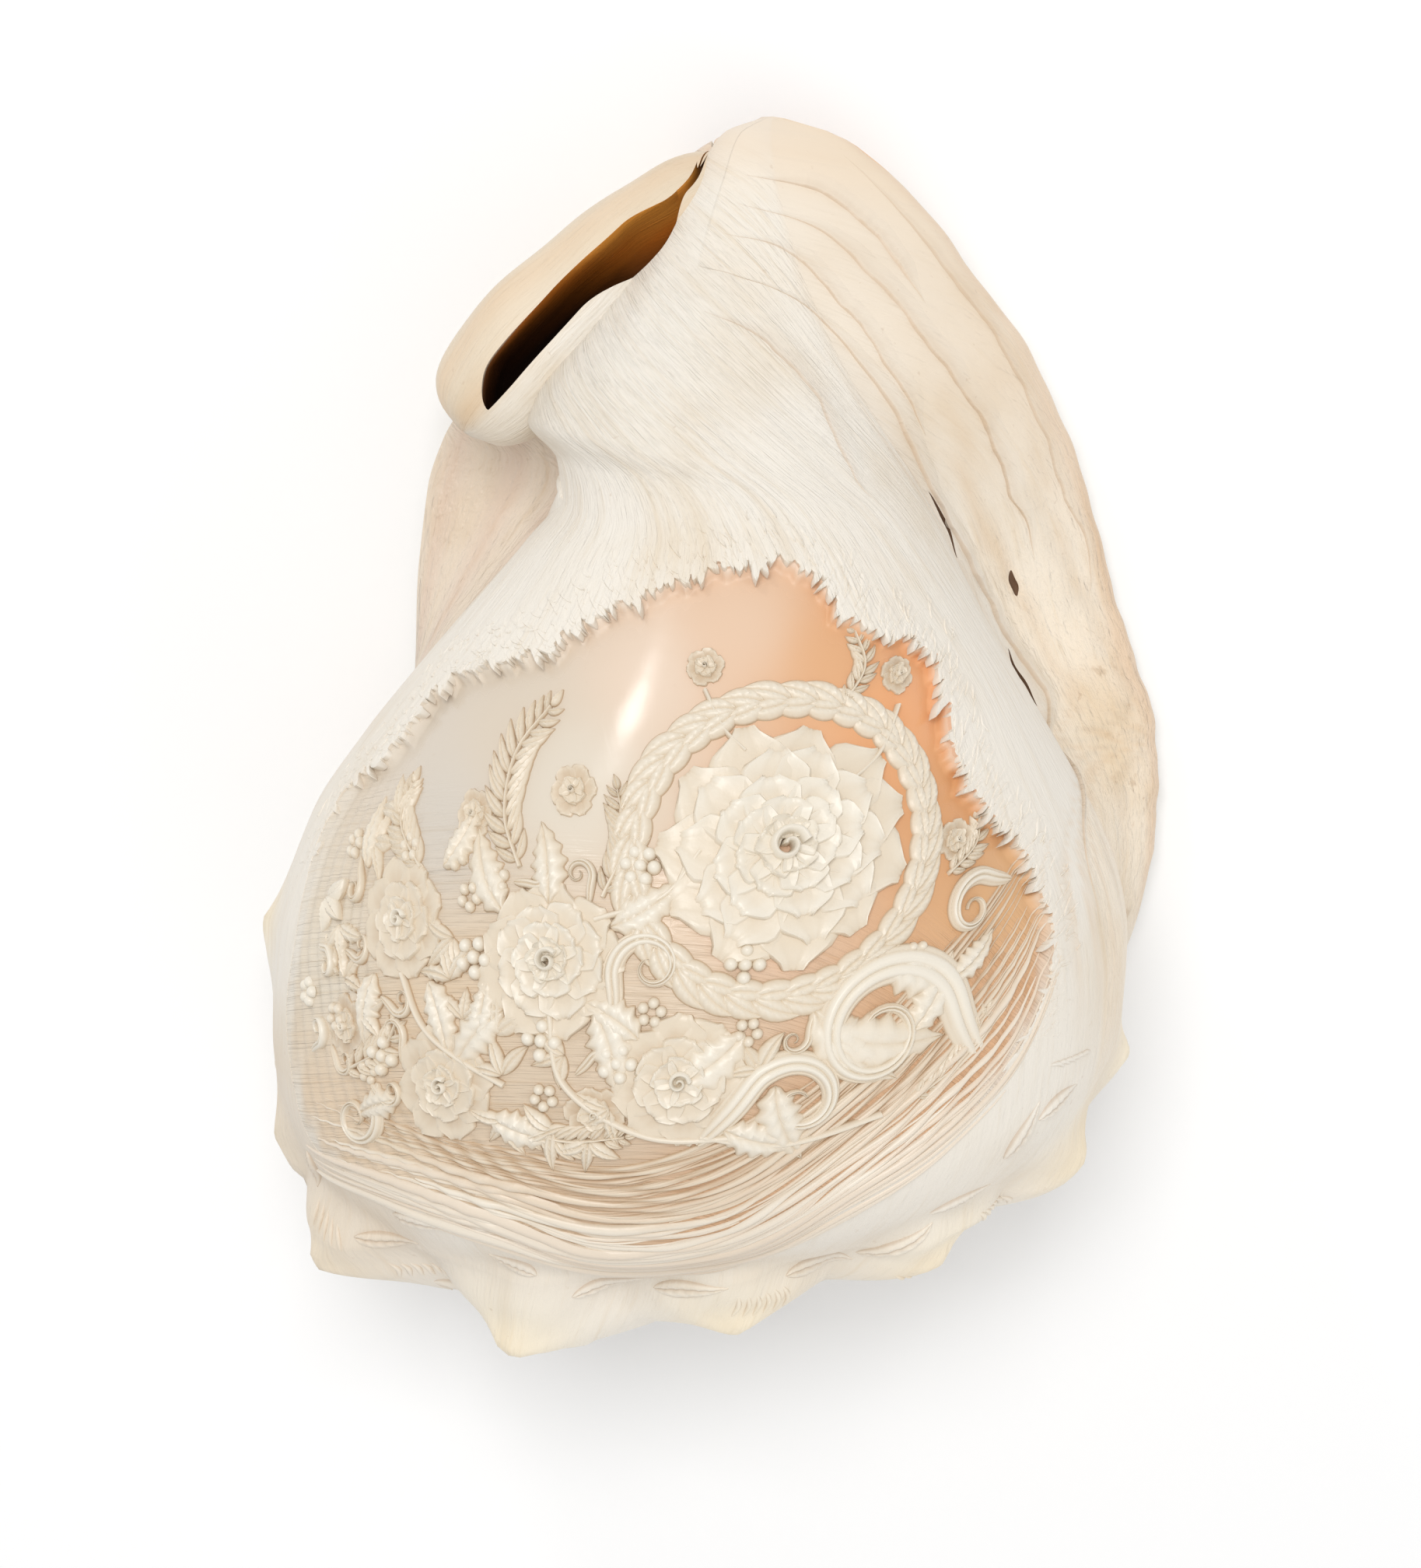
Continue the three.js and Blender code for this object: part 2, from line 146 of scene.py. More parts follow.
def sections(station):
    """Closed rings across the shell at these stations: an array (stations, places, xyz). A ring
    runs up the lip's flange on a Bezier curve, over the body on an ellipse, out to the shield's
    edge on another Bezier curve, and back along the flat underside with its shallow hollow."""
    v = np.asarray(station, float)[:, None]
    left_edge, right_edge, middle = body_left(v), body_right(v), body_middle(v)
    centre, half = (left_edge + right_edge) / 2, (right_edge - left_edge) / 2
    up, down = body_top(v) - middle, middle - 3 - front_lift(v)
    join = right_join(v)

    def ring(deg):
        """The body's ellipse at an angle from its right side."""
        a = np.radians(deg)
        s = np.sin(a)
        return centre + half * np.cos(a), middle + np.where(s > 0, up, down) * s

    rx, rz = ring(join)
    lx, lz = ring(LEFT_JOIN + 0 * v)
    fx, ft = lip_reach(v), lip_thick(v)
    fz = lip_height(v)
    sx, st, sz = shield_reach(v), shield_thick(v), shield_height(v)
    ez, hz = fz - 0.35 * ft, sz - 0.4 * st
    flow = smooth(135, 200, v)
    drop = rz - fz
    lip_wide, shield_wide = np.maximum(fx - rx, 0.5), np.maximum(lx - sx, 0.5)
    dressed = smooth(25, 52, v)
    xs, zs = [], []

    def put(deg, x, z):
        """Adds places at x, z, which near the spire give way to the plain ellipse."""
        px, pz = ring(deg)
        xs.append(px + (x - px) * dressed)
        zs.append(pz + (z - pz) * dressed)

    t = np.arange(N_LIP)[None] / N_LIP
    put(UNDER_LIP + (join - UNDER_LIP) * t,
        bezier([fx, fx - 0.02 * lip_wide, rx + (0.1 + 0.4 * flow) * lip_wide, rx], t),
        bezier([ez, ez + 0.75 * ft + 0.25 * flow * drop, rz - drop * (0.9 - 0.72 * flow), rz], t))
    deg = join + (LEFT_JOIN - join) * np.arange(N_BODY)[None] / N_BODY
    put(deg, *ring(deg))
    t = np.arange(N_SHIELD)[None] / N_SHIELD
    put(LEFT_JOIN + (UNDER_SHIELD - LEFT_JOIN) * t,
        bezier([lx, lx, sx + 0.25 * shield_wide, sx], t),
        bezier([lz, lz - 0.9 * (lz - sz), hz + 0.6 * st, hz], t))
    t = (1 - np.cos(math.pi * np.arange(N_UNDER)[None] / N_UNDER)) / 2
    width = fx - sx
    along = t * width
    scale = 24 / np.minimum(24, 0.35 * width)
    from_shield, from_lip = along * scale, (width - along) * scale
    near = np.minimum(from_shield, from_lip)
    edge = np.maximum(np.where(from_shield < from_lip, hz, ez) - front_lift(v), 0.5)
    under = np.where(near < 5, edge * (1 - smooth(0, 5, near)), 3.5 * smooth(10, 24, near))
    put(UNDER_SHIELD + (360 + UNDER_LIP - UNDER_SHIELD) * t, sx + along, under + front_lift(v))
    x, z = np.concatenate(xs, 1), np.concatenate(zs, 1)
    y = v + turn(v) * (x - centre) - lean(v) * (z - middle)
    return np.stack([x, y, np.maximum(z, 0)], -1)


def spire(share, rim):
    """The shoulder's ring shrunk towards the apex, with a stepped spiral and blunt nodules."""
    q = np.asarray(share, float)[:, None, None]
    centre = rim.mean(0)
    p = centre + (APEX - centre) * (1 - q**1.35) + (rim - centre) * q
    axis = (APEX - centre) / np.linalg.norm(APEX - centre)
    angle = np.arctan2(rim[:, 2] - centre[2], rim[:, 0] - centre[0])[None, :, None]
    phase = np.log(q) / math.log(0.56) + angle / TAU
    within = phase - np.floor(phase)
    rim_fade = 1 - smooth(0.72, 0.98, q)
    step = 3.4 * np.sqrt(q) * rim_fade * (within - 0.5)
    step = step - 2.0 * rim_fade * np.exp(-((np.minimum(within, 1 - within) / 0.05) ** 2))
    nodule = np.exp(-(((within - 0.33) / 0.16) ** 2)) * (0.5 + 0.5 * np.cos(16 * angle + 2.2 * phase))
    step = step - 1.6 * np.sqrt(q) * rim_fade * nodule
    return p - axis * step


KNOB_CENTRE = np.array([2, 52, 50.0])
VALLEY = 5.2
# Tip x, y, z, how far it stands out, and the radius of its foot.
KNOBS = [
    (-82, 69, 50, 5.5, 13), (-77, 40, 44, 6, 11), (-73.5, 30.5, 60, 7, 13), (-62, 10.2, 70, 12, 19),
    (-24, 3, 84, 16, 23), (16.5, 13.8, 86, 15, 22), (52, 30.6, 78, 14, 20), (76, 50.3, 64, 12, 19),
    (82.6, 68.6, 48, 9, 15), (-74, 36, 25, 6, 11), (-52, 35, 12, 5, 11)]


def raise_knobs(p):
    """Each knob is a blunt peak with hollow flanks, drawn out of the skin away from one centre.
    Between knobs the shoulder is drawn in."""
    out = p.copy()
    nearest = np.full(p.shape[:2], 9.0)
    for x, y, z, high, foot in KNOBS:
        tip = np.array([x, y, z], float)
        way = tip - KNOB_CENTRE
        way = way / np.linalg.norm(way)
        rel = p - (tip - way * high)
        along = rel @ way
        off = rel - along[..., None] * way
        side = np.cross(way, [0, 0.35, 1.0])
        side = side / np.linalg.norm(side)
        a, b = off @ side, off @ np.cross(side, way)
        four = np.cos(4 * np.arctan2(b, a))
        rho = np.sqrt((a * 0.94) ** 2 + (b * 1.06) ** 2 + 1.0) / (foot * (1 + 0.10 * four))
        nearest = np.minimum(nearest, rho)
        share = np.clip(1.2 * np.clip(1 - rho, 0, 1) ** 2.0, 0, 1)
        lift = share * np.maximum(high - along, 0) * smooth(-16, -6, along)
        out += lift[..., None] * way
    from_centre = p - KNOB_CENTRE
    from_centre = from_centre / np.linalg.norm(from_centre, axis=-1, keepdims=True)
    at_shoulder = np.exp(-(((row_mark[:, None] - 35) / 12) ** 2)) * smooth(28, 48, p[..., 2])
    valley = smooth(0.38, 0.95, nearest) * at_shoulder
    return out - VALLEY * valley[..., None] * from_centre, valley


# Rings: the spire's from the apex out, then the stations, close together at the shoulder.
shares = 1 - (1 - np.linspace(0.045, 1, 50, endpoint=False)) ** 1.25
pace = np.linspace(0, 1, 180)
pace = 0.55 * pace + 0.45 * (0.35 * pace**2 + 0.65 * np.sin(pace * math.pi / 2))
stations = SHOULDER + (FRONT - 0.25 - SHOULDER) * pace / pace[-1]
rings = sections(stations)
rings = np.concatenate([spire(shares, rings[0]), rings])
row_mark = np.concatenate([shares * SHOULDER, stations])  # 0 apex, 37 shoulder, 230 front
rings, valley = raise_knobs(rings)
n_rows, n_places = rings.shape[:2]


def normals(p, wrap):
    """Unit normals of a grid of points: the cross product of its two gradients."""
    q = np.concatenate([p[:, -1:], p, p[:, :1]], 1) if wrap else p
    du = np.gradient(q, axis=1)
    dv = np.gradient(q, axis=0)
    n = np.cross(du, dv)
    n = n[:, 1:-1] if wrap else n
    return n / (np.linalg.norm(n, axis=-1, keepdims=True) + 1e-9)


outward = normals(rings, True)
if (outward[120, 80] @ np.array([0, 0, 1.0])) < 0:
    outward = -outward

# A slow unevenness that follows the growth lines, and a wavy, worn outer lip.
place = np.arange(n_places)
is_top = place < N_LIP + N_BODY
wave = 0.10 * np.sin(place * 0.31 + 1.3 * np.sin(row_mark[:, None] * 0.045)) * is_top
wave = wave * (smooth(60, 110, row_mark) * (1 - smooth(185, 215, row_mark)))[:, None]
ripple = (0.22 * np.sin(row_mark * 0.33) + 0.14 * np.sin(row_mark * 0.71 + 1)) * smooth(70, 90, row_mark)
wave = wave + np.exp(-(((place - 3) / 5.0) ** 2)) * ripple[:, None]
rings = rings + outward * wave[..., None]
rings[..., 2] = np.maximum(rings[..., 2], 0)

# Meshes


def tube(rings, start, end, mark):
    """A closed mesh through rings, with a point at each end. mark gives each node its
    numbers; it has one more column than the rings, so that the seam keeps its own."""
    n, m = rings.shape[:2]
    verts = np.concatenate([start[None], rings.reshape(-1, 3), end[None]])
    k, i = (grid.ravel() for grid in np.meshgrid(np.arange(n - 1), np.arange(m), indexing="ij"))
    j = (i + 1) % m
    a, b, c, d = 1 + k * m + i, 1 + k * m + j, 1 + (k + 1) * m + j, 1 + (k + 1) * m + i
    ua, ub, uc, ud = mark[k, i], mark[k, i + 1], mark[k + 1, i + 1], mark[k + 1, i]
    i = np.arange(m)
    j = (i + 1) % m
    last = 1 + (n - 1) * m
    tri = np.concatenate([np.stack(three, 1) for three in (
        (a, b, c), (a, c, d), (0 * i, 1 + j, 1 + i), (0 * i + last + m, last + i, last + j))])
    uv = np.concatenate([np.stack(three, 1) for three in (
        (ua, ub, uc), (ua, uc, ud), (mark[0, i], mark[0, i + 1], mark[0, i]),
        (mark[-1, i], mark[-1, i], mark[-1, i + 1]))])
    volume = np.einsum("ij,ij->i", verts[tri[:, 0]], np.cross(verts[tri[:, 1]], verts[tri[:, 2]])).sum()
    if volume < 0:
        tri, uv = tri[:, ::-1], uv[:, ::-1]
    return verts, tri, uv


def mesh_object(name, verts, tri, corner=None):
    """An object in the part's frame, in metres, with two-number corner marks as UV layers."""
    me = bpy.data.meshes.new(name)
    me.vertices.add(len(verts))
    me.vertices.foreach_set("co", ((verts + SHIFT) / 1000).astype(np.float32).ravel())
    me.loops.add(len(tri) * 3)
    me.loops.foreach_set("vertex_index", np.ascontiguousarray(tri, dtype=np.int32).ravel())
    me.polygons.add(len(tri))
    me.polygons.foreach_set("loop_start", np.arange(0, len(tri) * 3, 3, dtype=np.int32))
    me.update(calc_edges=True)
    for layer, values in (corner or {}).items():
        uv = me.uv_layers.new(name=layer)
        uv.data.foreach_set("uv", np.ascontiguousarray(values, dtype=np.float32).ravel())
    me.validate()
    ob = bpy.data.objects.new(name, me)
    bpy.context.scene.collection.objects.link(ob)
    return ob


def combine(base, tool, operation):
    """base joined with or cut by tool, which is used up."""
    mod = base.modifiers.new("step", "BOOLEAN")
    mod.operation, mod.object, mod.solver = operation, tool, "MANIFOLD"
    done = bpy.data.meshes.new_from_object(base.evaluated_get(bpy.context.evaluated_depsgraph_get()))
    base.modifiers.clear()
    old, base.data = base.data, done
    bpy.data.meshes.remove(old)
    bpy.data.objects.remove(tool)


def kinds(tri, kind):
    """What the corners of these triangles belong to, and a second number, 0."""
    return np.broadcast_to(np.array([kind, 0.0]), (len(tri), 3, 2))


def closed(mark):
    """The marks with their first column once more at the end, for the seam."""
    return np.concatenate([mark, mark[:, :1]], 1)


# What a corner of the skin belongs to.
OUTER, CANAL, SLOT, GROUND, PIT = 0, 1, 2, 3, 4

mark = np.stack(np.broadcast_arrays(np.arange(n_places + 1.0)[None], row_mark[:, None]), -1)
verts, tri, uv = tube(rings, APEX, np.array([-10.5, FRONT, 23.0]), mark)
shell = mesh_object("shell_skin", verts, tri, {"skin": uv, "kind": kinds(tri, OUTER)})


def sweep(line, outs, shape):
    """Rings along a line; shape is an array (points, places, 2) of side and outward offsets."""
    along = np.gradient(line, axis=0)
    along /= np.linalg.norm(along, axis=1, keepdims=True)
    out = outs - along * np.sum(outs * along, 1, keepdims=True)
    out /= np.linalg.norm(out, axis=1, keepdims=True)
    side = np.cross(along, out)
    return line[:, None] + side[:, None] * shape[..., :1] + out[:, None] * shape[..., 1:]


# The siphonal canal: x, y, z and radius along it.
CANAL_LINE = np.array([
    (4, 178, 17, 15), (-4, 196, 18, 15), (-13, 208, 20, 13.5), (-21.5, 211, 26, 11),
    (-29.5, 205, 33, 10.8), (-39.5, 192.5, 36, 12), (-48.5, 180.5, 36.5, 12.8),
    (-54.5, 171, 36.5, 11.5), (-57.5, 166, 36.5, 8), (-58.7, 163.8, 36.5, 2)])
N_ALONG, N_ROUND = 90, 56
line = spline(CANAL_LINE, N_ALONG)
a = np.linspace(0, TAU, N_ROUND, endpoint=False)
shape = line[:, 3:4, None] * np.stack([np.cos(a), np.sin(a)], -1)[None]
along = np.linspace(0, 1, N_ALONG)[:, None]
uneven = 1 + 0.022 * np.sin(3 * a + 9 * along) + 0.018 * np.sin(5 * a - 21 * along + 1)
uneven = uneven + 0.02 * np.sin(33 * along + 2 * np.cos(a))
wall = sweep(line[:, :3], np.tile([0, 0.3, 1.0], (N_ALONG, 1)), shape * uneven[..., None])
mark = np.stack(np.broadcast_arrays(np.arange(N_ROUND + 1.0)[None], along), -1)
verts, tri, uv = tube(wall, line[0, :3], line[-1, :3], mark)
combine(shell, mesh_object("canal", verts, tri, {"skin": uv, "kind": kinds(tri, CANAL)}), "UNION")

# The aperture and the canal's slot: x, y, z, half width, depth, outward.
SLIT = np.array([
    (23, 47, 2, 1.5, 14, 0, -0.2, -1), (22, 58, 1, 4, 26, 0, 0, -1), (19, 78, 1, 6, 38, 0, 0, -1),
    (15, 100, 1, 6.5, 42, 0, 0, -1), (10, 130, 1, 6.5, 40, 0, 0, -1), (4, 158, 1, 6, 32, 0, 0, -1),
    (-4, 184, 1, 5, 22, 0, 0.1, -1), (-11.5, 206, 3, 4, 13, 0, 0.3, -1),
    (-17, 218, 8, 3, 10, -0.1, 0.8, -0.7), (-20.5, 224, 18, 2.2, 9, -0.2, 1, 0),
    (-22.5, 224, 30, 2, 9, -0.3, 0.9, 0.4), (-25, 217.5, 42, 2.8, 13, -0.3, 0.4, 1),
    (-32.5, 203, 48, 4.6, 19, -0.3, 0.2, 1), (-41.5, 189.5, 50, 5.8, 22, -0.3, 0.1, 1),
    (-49.5, 177, 50, 5.6, 20, -0.3, 0, 1), (-54.5, 169, 49, 3.6, 15, -0.3, 0, 1)])
N_SLIT = 420
N_UNDERSIDE = 180  # how many of its points lie on the underside
knot = np.linspace(0, 1, len(SLIT))
share = np.linspace(0, 1, N_SLIT)
keys = np.vstack([2 * SLIT[0] - SLIT[1], SLIT, 2 * SLIT[-1] - SLIT[-2]])
i = np.minimum((share * (len(SLIT) - 1)).astype(int), len(SLIT) - 2)
f = (share * (len(SLIT) - 1) - i)[:, None]
slit = between(keys, i, f)
half, deep = (curve(np.stack([knot, SLIT[:, c]], 1))(share) for c in (3, 4))
outs = np.stack([curve(np.stack([knot, SLIT[:, c]], 1))(share) for c in (5, 6, 7)], 1)
# Its end is round, and it all but closes where it passes over the front.
half = half * np.sqrt(np.clip(1 - np.clip((share - 0.95) / 0.05, 0, 1) ** 2, 0.01, 1))
half = half * (1 - 0.93 * smooth(0.56, 0.60, share) * (1 - smooth(0.735, 0.79, share)))
# Teeth on both sides of the aperture.
toothed = smooth(0.02, 0.06, share) * (1 - smooth(0.45, 0.5, share))
tooth = 1.3 * toothed * np.cos(TAU * 15 * share / 0.5)
# Its cross-section. Near the mouth: height, share of the teeth and flare. Below: width and depth.
mouth = [(6, 1, 1), (0.6, 1, 0.35), (-1.2, 1, 0), (-3.5, 0.7, 0)]
one_side = [np.stack([-(half + tooth * share_of_tooth) - flare, 0 * half + high], -1)
            for high, share_of_tooth, flare in mouth]
inner = half + 0.5
one_side += [np.stack([-wide * inner, -part * deep], -1)
             for wide, part in ((1, 0.3), (1, 0.55), (0.8, 0.85))]
other_side = [row * [-1, 1] for row in one_side[::-1]]
shape = np.stack(one_side + [np.stack([0 * half, -deep], -1)] + other_side, 1)
# In the canal it is narrower and lies nearer the outer wall.
pinch = smooth(0.77, 0.86, share)
nearer = shape.copy()
nearer[..., 0] = shape[..., 0] * (1 - 0.45 * pinch)[:, None] + (0.42 * half * pinch)[:, None]
wall = sweep(slit[:, :3], outs, nearer)
side_of = np.clip(shape[..., 0] / (half[:, None] + 0.5), -1, 1)
mark = np.stack([np.broadcast_to(share[:, None], side_of.shape), -shape[..., 1], side_of], -1)
verts, tri, uv = tube(wall, slit[0, :3], slit[-1, :3], closed(mark))
kind = np.stack([0 * uv[..., 2] + SLOT, uv[..., 2]], -1)
combine(shell, mesh_object("slit", verts, tri, {"skin": uv[..., :2], "kind": kind}), "DIFFERENCE")

# The skin as a map: the upper skin laid out flat. w runs across from the crest, to the right, and
# v along it from the shoulder, to the front, both in millimetres. STEP is the map's pitch.
STEP = 1.0
top = rings[:, : N_LIP + N_BODY + N_SHIELD + 1]
run = np.concatenate([np.zeros((n_rows, 1)), np.cumsum(np.linalg.norm(np.diff(top, axis=1), axis=2), 1)], 1)
join = right_join(np.maximum(row_mark, SHOULDER))
crest_place = N_LIP + N_BODY * (90 - join) / (LEFT_JOIN - join)
places = np.arange(top.shape[1])
W_MAX = 160.0
w_axis = np.arange(-W_MAX, W_MAX + STEP / 2, STEP)
laid = np.empty((n_rows, len(w_axis), 5))  # x, y, z, place and station
crest = np.empty((n_rows, 3))
for r in range(n_rows):
    at_crest = np.interp(crest_place[r], places, run[r])
    for c in range(3):
        laid[r, :, c] = np.interp(at_crest - w_axis, run[r], top[r, :, c])
        crest[r, c] = np.interp(crest_place[r], places, top[r, :, c])
    laid[r, :, 3] = np.interp(at_crest - w_axis, run[r], places)
    laid[r, :, 4] = row_mark[r]
crest_far = np.concatenate([[0], np.cumsum(np.linalg.norm(np.diff(crest, axis=0), axis=1))])
crest_far = crest_far - np.interp(SHOULDER, row_mark, crest_far)
v_axis = np.arange(crest_far[0], crest_far[-1], STEP)
k = np.clip(np.searchsorted(crest_far, v_axis) - 1, 0, n_rows - 2)
f = ((v_axis - crest_far[k]) / (crest_far[k + 1] - crest_far[k]))[:, None, None]
flat = laid[k] * (1 - f) + laid[k + 1] * f
flat, flat_mark = flat[..., :3], flat[..., 3:]
flat_n = normals(flat, False)
if flat_n[len(v_axis) // 2, len(w_axis) // 2, 2] < 0:
    flat_n = -flat_n


def sample(table, wv):
    """The table's value at map points (..., 2), between its nodes."""
    x = np.clip((wv[..., 0] - w_axis[0]) / STEP, 0, len(w_axis) - 1.001)
    y = np.clip((wv[..., 1] - v_axis[0]) / STEP, 0, len(v_axis) - 1.001)
    i, j = x.astype(int), y.astype(int)
    fx, fy = (x - i)[..., None], (y - j)[..., None]
    return (table[j, i] * (1 - fx) + table[j, i + 1] * fx) * (1 - fy) + (
        table[j + 1, i] * (1 - fx) + table[j + 1, i + 1] * fx) * fy


def skin(wv, h):
    """Points h above the skin at map points."""
    n = sample(flat_n, wv)
    n = n / (np.linalg.norm(n, axis=-1, keepdims=True) + 1e-9)
    return sample(flat, wv) + n * np.asarray(h)[..., None]


# The camera's view, in millimetres and picture points
TILT, ROLL = math.radians(8.0), math.radians(8.7)
FAR, LENS, TALL, WIDE = 680.0, 85.0, 2016, 1827
FOCAL = LENS / 36 * TALL
AIM = np.array([-2.9, 108.0, 60.0])
back = np.array([0, math.sin(TILT), math.cos(TILT)])
up0, right0 = np.array([0, math.cos(TILT), -math.sin(TILT)]), np.array([1.0, 0, 0])
cam_right = math.cos(ROLL) * right0 + math.sin(ROLL) * up0
cam_up = -math.sin(ROLL) * right0 + math.cos(ROLL) * up0
cam_at = AIM + FAR * back


def seen_at(p):
    """Where the camera sees points, from the view's upper left corner, in a 1827 x 2016 view."""
    d = p - cam_at
    z = -(d @ back)
    return np.stack([WIDE / 2 + FOCAL * (d @ cam_right) / z, TALL / 2 - FOCAL * (d @ cam_up) / z], -1)


view = seen_at(flat)
in_sight = np.einsum("ijk,ijk->ij", flat_n, cam_at - flat) > 0


def spot(x, y):
    """The map point that the camera sees at x, y."""
    miss = np.hypot(view[..., 0] - x, view[..., 1] - y) + np.where(in_sight, 0, 1e6)
    j, i = np.unravel_index(np.argmin(miss), miss.shape)
    i, j = min(max(i, 1), len(w_axis) - 2), min(max(j, 1), len(v_axis) - 2)
    jac = np.stack([(view[j, i + 1] - view[j, i - 1]) / 2, (view[j + 1, i] - view[j - 1, i]) / 2], 1)
    off = np.array([x, y]) - view[j, i]
    try:
        fix = np.clip(np.linalg.solve(jac, off), -1.5, 1.5)
    except np.linalg.LinAlgError:
        fix = np.zeros(2)
    return np.array([w_axis[i] + fix[0] * STEP, v_axis[j] + fix[1] * STEP])


def spots(points):
    """The map points for a list of view points."""
    return np.array([spot(x, y) for x, y in points])


# The carved panel
RECESS = 2.6  # how deep the cut layer lies under the white skin
BORDER = spots([
    (379, 1212), (406, 1088), (450, 1005), (504, 957), (564, 877), (640, 848), (700, 832), (766, 786),
    (830, 760), (887, 736), (950, 722), (1008, 716), (1050, 735), (1070, 760), (1098, 797),
    (1150, 812), (1199, 836), (1219, 907), (1230, 967), (1270, 1038), (1315, 1085), (1350, 1170),
    (1352, 1250), (1318, 1335), (1262, 1420), (1180, 1492), (1080, 1552), (960, 1598),
    (840, 1622), (720, 1618), (600, 1584), (490, 1530), (405, 1475), (378, 1400), (368, 1300)])
# How ragged the border is and how sharp its step is, at each of those points: 1 at the front.
SHARP = np.array([0, 0.1, 0.5, 0.9] + [1] * 17 + [0.8, 0.4, 0.1, 0, 0, 0, 0, 0, 0, 0, 0, 0, 0, 0])
MIDST = spot(860, 1190)
N_BORDER = 720
ring_keys = np.column_stack([BORDER, SHARP])
border = spline(np.vstack([ring_keys, ring_keys[:1]]), N_BORDER + 1)[:-1]
border_sharp = np.clip(border[:, 2], 0, 1)
out_dir = border[:, :2] - MIDST
border_far = np.linalg.norm(out_dir, axis=1)
out_dir /= border_far[:, None]
k = np.arange(N_BORDER)
jag = sum(a * np.sin(TAU * k * n / N_BORDER + p) for n, a, p in (
    (43, 1.0, 0.3), (71, 0.8, 2.1), (97, 0.6, 4.0), (131, 0.5, 1.1), (173, 0.35, 5.0)))
border_far = border_far + jag * 0.55 * border_sharp


def border_at(wv):
    """For map points: how far out they are, as a share of the border's distance, and how sharp
    the border is there."""
    rel = wv - MIDST
    angle = np.arctan2(rel[..., 1], rel[..., 0])
    own = np.arctan2(out_dir[:, 1], out_dir[:, 0])
    order = np.argsort(own)
    far, sharp = (
        np.interp(angle, own[order], values[order], period=TAU) for values in (border_far, border_sharp))
    return np.hypot(rel[..., 0], rel[..., 1]) / far, sharp


def panel_height(wv, edge, sharp):
    """The ground's level under the skin: a short ragged step at the front and a long slope at the
    foot, which carries shallow flowing furrows."""
    steep = -RECESS * (0.30 + 0.70 * smooth(0, 0.035, 1 - edge))
    gentle = -RECESS * smooth(0, 0.22, 1 - edge) - 0.06
    rel = wv - MIDST
    far, angle = np.hypot(rel[..., 0], rel[..., 1]), np.arctan2(rel[..., 1], rel[..., 0])
    furrow = 0.20 * np.sin(TAU * far / 3.1 + 1.6 * np.sin(5 * angle) + 0.9 * np.sin(11 * angle + 1))
    furrow = furrow * smooth(0.55, 0.75, edge) * (1 - smooth(0.93, 1.0, edge)) * (1 - sharp)
    return gentle + (steep - gentle) * sharp + furrow


def level(wv):
    """The carved surface's level at any map points, measured from the white skin."""
    edge, sharp = border_at(wv)
    return np.where(edge < 1, panel_height(wv, np.minimum(edge, 1), sharp), 0.0)


# The cutter's rings: from the middle out, closer together near the border, then back above it.
out_share = np.concatenate([np.linspace(0.02, 0.7, 18, endpoint=False), np.linspace(0.7, 1, 42)])
wv = MIDST + out_dir[None] * (border_far[None] * out_share[:, None])[..., None]
ground = skin(wv, panel_height(wv, out_share[:, None] + 0 * border_sharp, border_sharp[None]))
lid = skin(MIDST + out_dir * (border_far * 1.004)[:, None], np.full(N_BORDER, 7.0))
lid_in = skin(MIDST + out_dir * (border_far * 0.5)[:, None], np.full(N_BORDER, 12.0))
cutter = np.concatenate([ground, lid[None], lid_in[None]])
mark = closed(np.concatenate([wv, wv[-1:], wv[-1:]]))
verts, tri, uv = tube(cutter, skin(MIDST, -RECESS), skin(MIDST, 14.0), mark)
combine(shell, mesh_object("panel", verts, tri, {"skin": uv, "kind": kinds(tri, GROUND)}), "DIFFERENCE")


def lens(at, to, wide, deep, kind, wavy=0.5):
    """A lens-shaped hollow in the skin between two view points: a crack or a pit. Its rings are
    ellipses that grow and shrink with the sine of the way along, on a line that sways."""
    a, b = spot(*at), spot(*to)
    n, m, above = 24, 16, 0.6
    t = np.linspace(0.02, 0.98, n)
    path = a + (b - a) * t[:, None]
    way = (b - a) / np.linalg.norm(b - a)
    across = np.array([-way[1], way[0]])
    around = np.linspace(0, TAU, m, endpoint=False)
    size = np.sin(math.pi * t)[:, None] ** 0.8
    sway = wavy * wide * np.sin(t * 11 + 1)[:, None]
    wv = path[:, None] + across * (size * wide * np.cos(around) + sway)[..., None]
    p = skin(wv, above + size * deep * np.sin(around))
    verts, tri, uv = tube(p, skin(a, above), skin(b, above), closed(sample(flat_mark, wv)))
    combine(shell, mesh_object("hollow", verts, tri, {"skin": uv, "kind": kinds(tri, kind)}), "DIFFERENCE")


lens((1190, 628), (1233, 722), 0.75, 2.6, PIT)
lens((1294, 830), (1337, 912), 0.55, 2.4, PIT)
lens((1298, 726), (1312, 774), 0.85, 1.6, PIT, 0.15)
lens((1290, 700), (1320, 800), 2.2, 1.0, OUTER, 0)

# Strokes


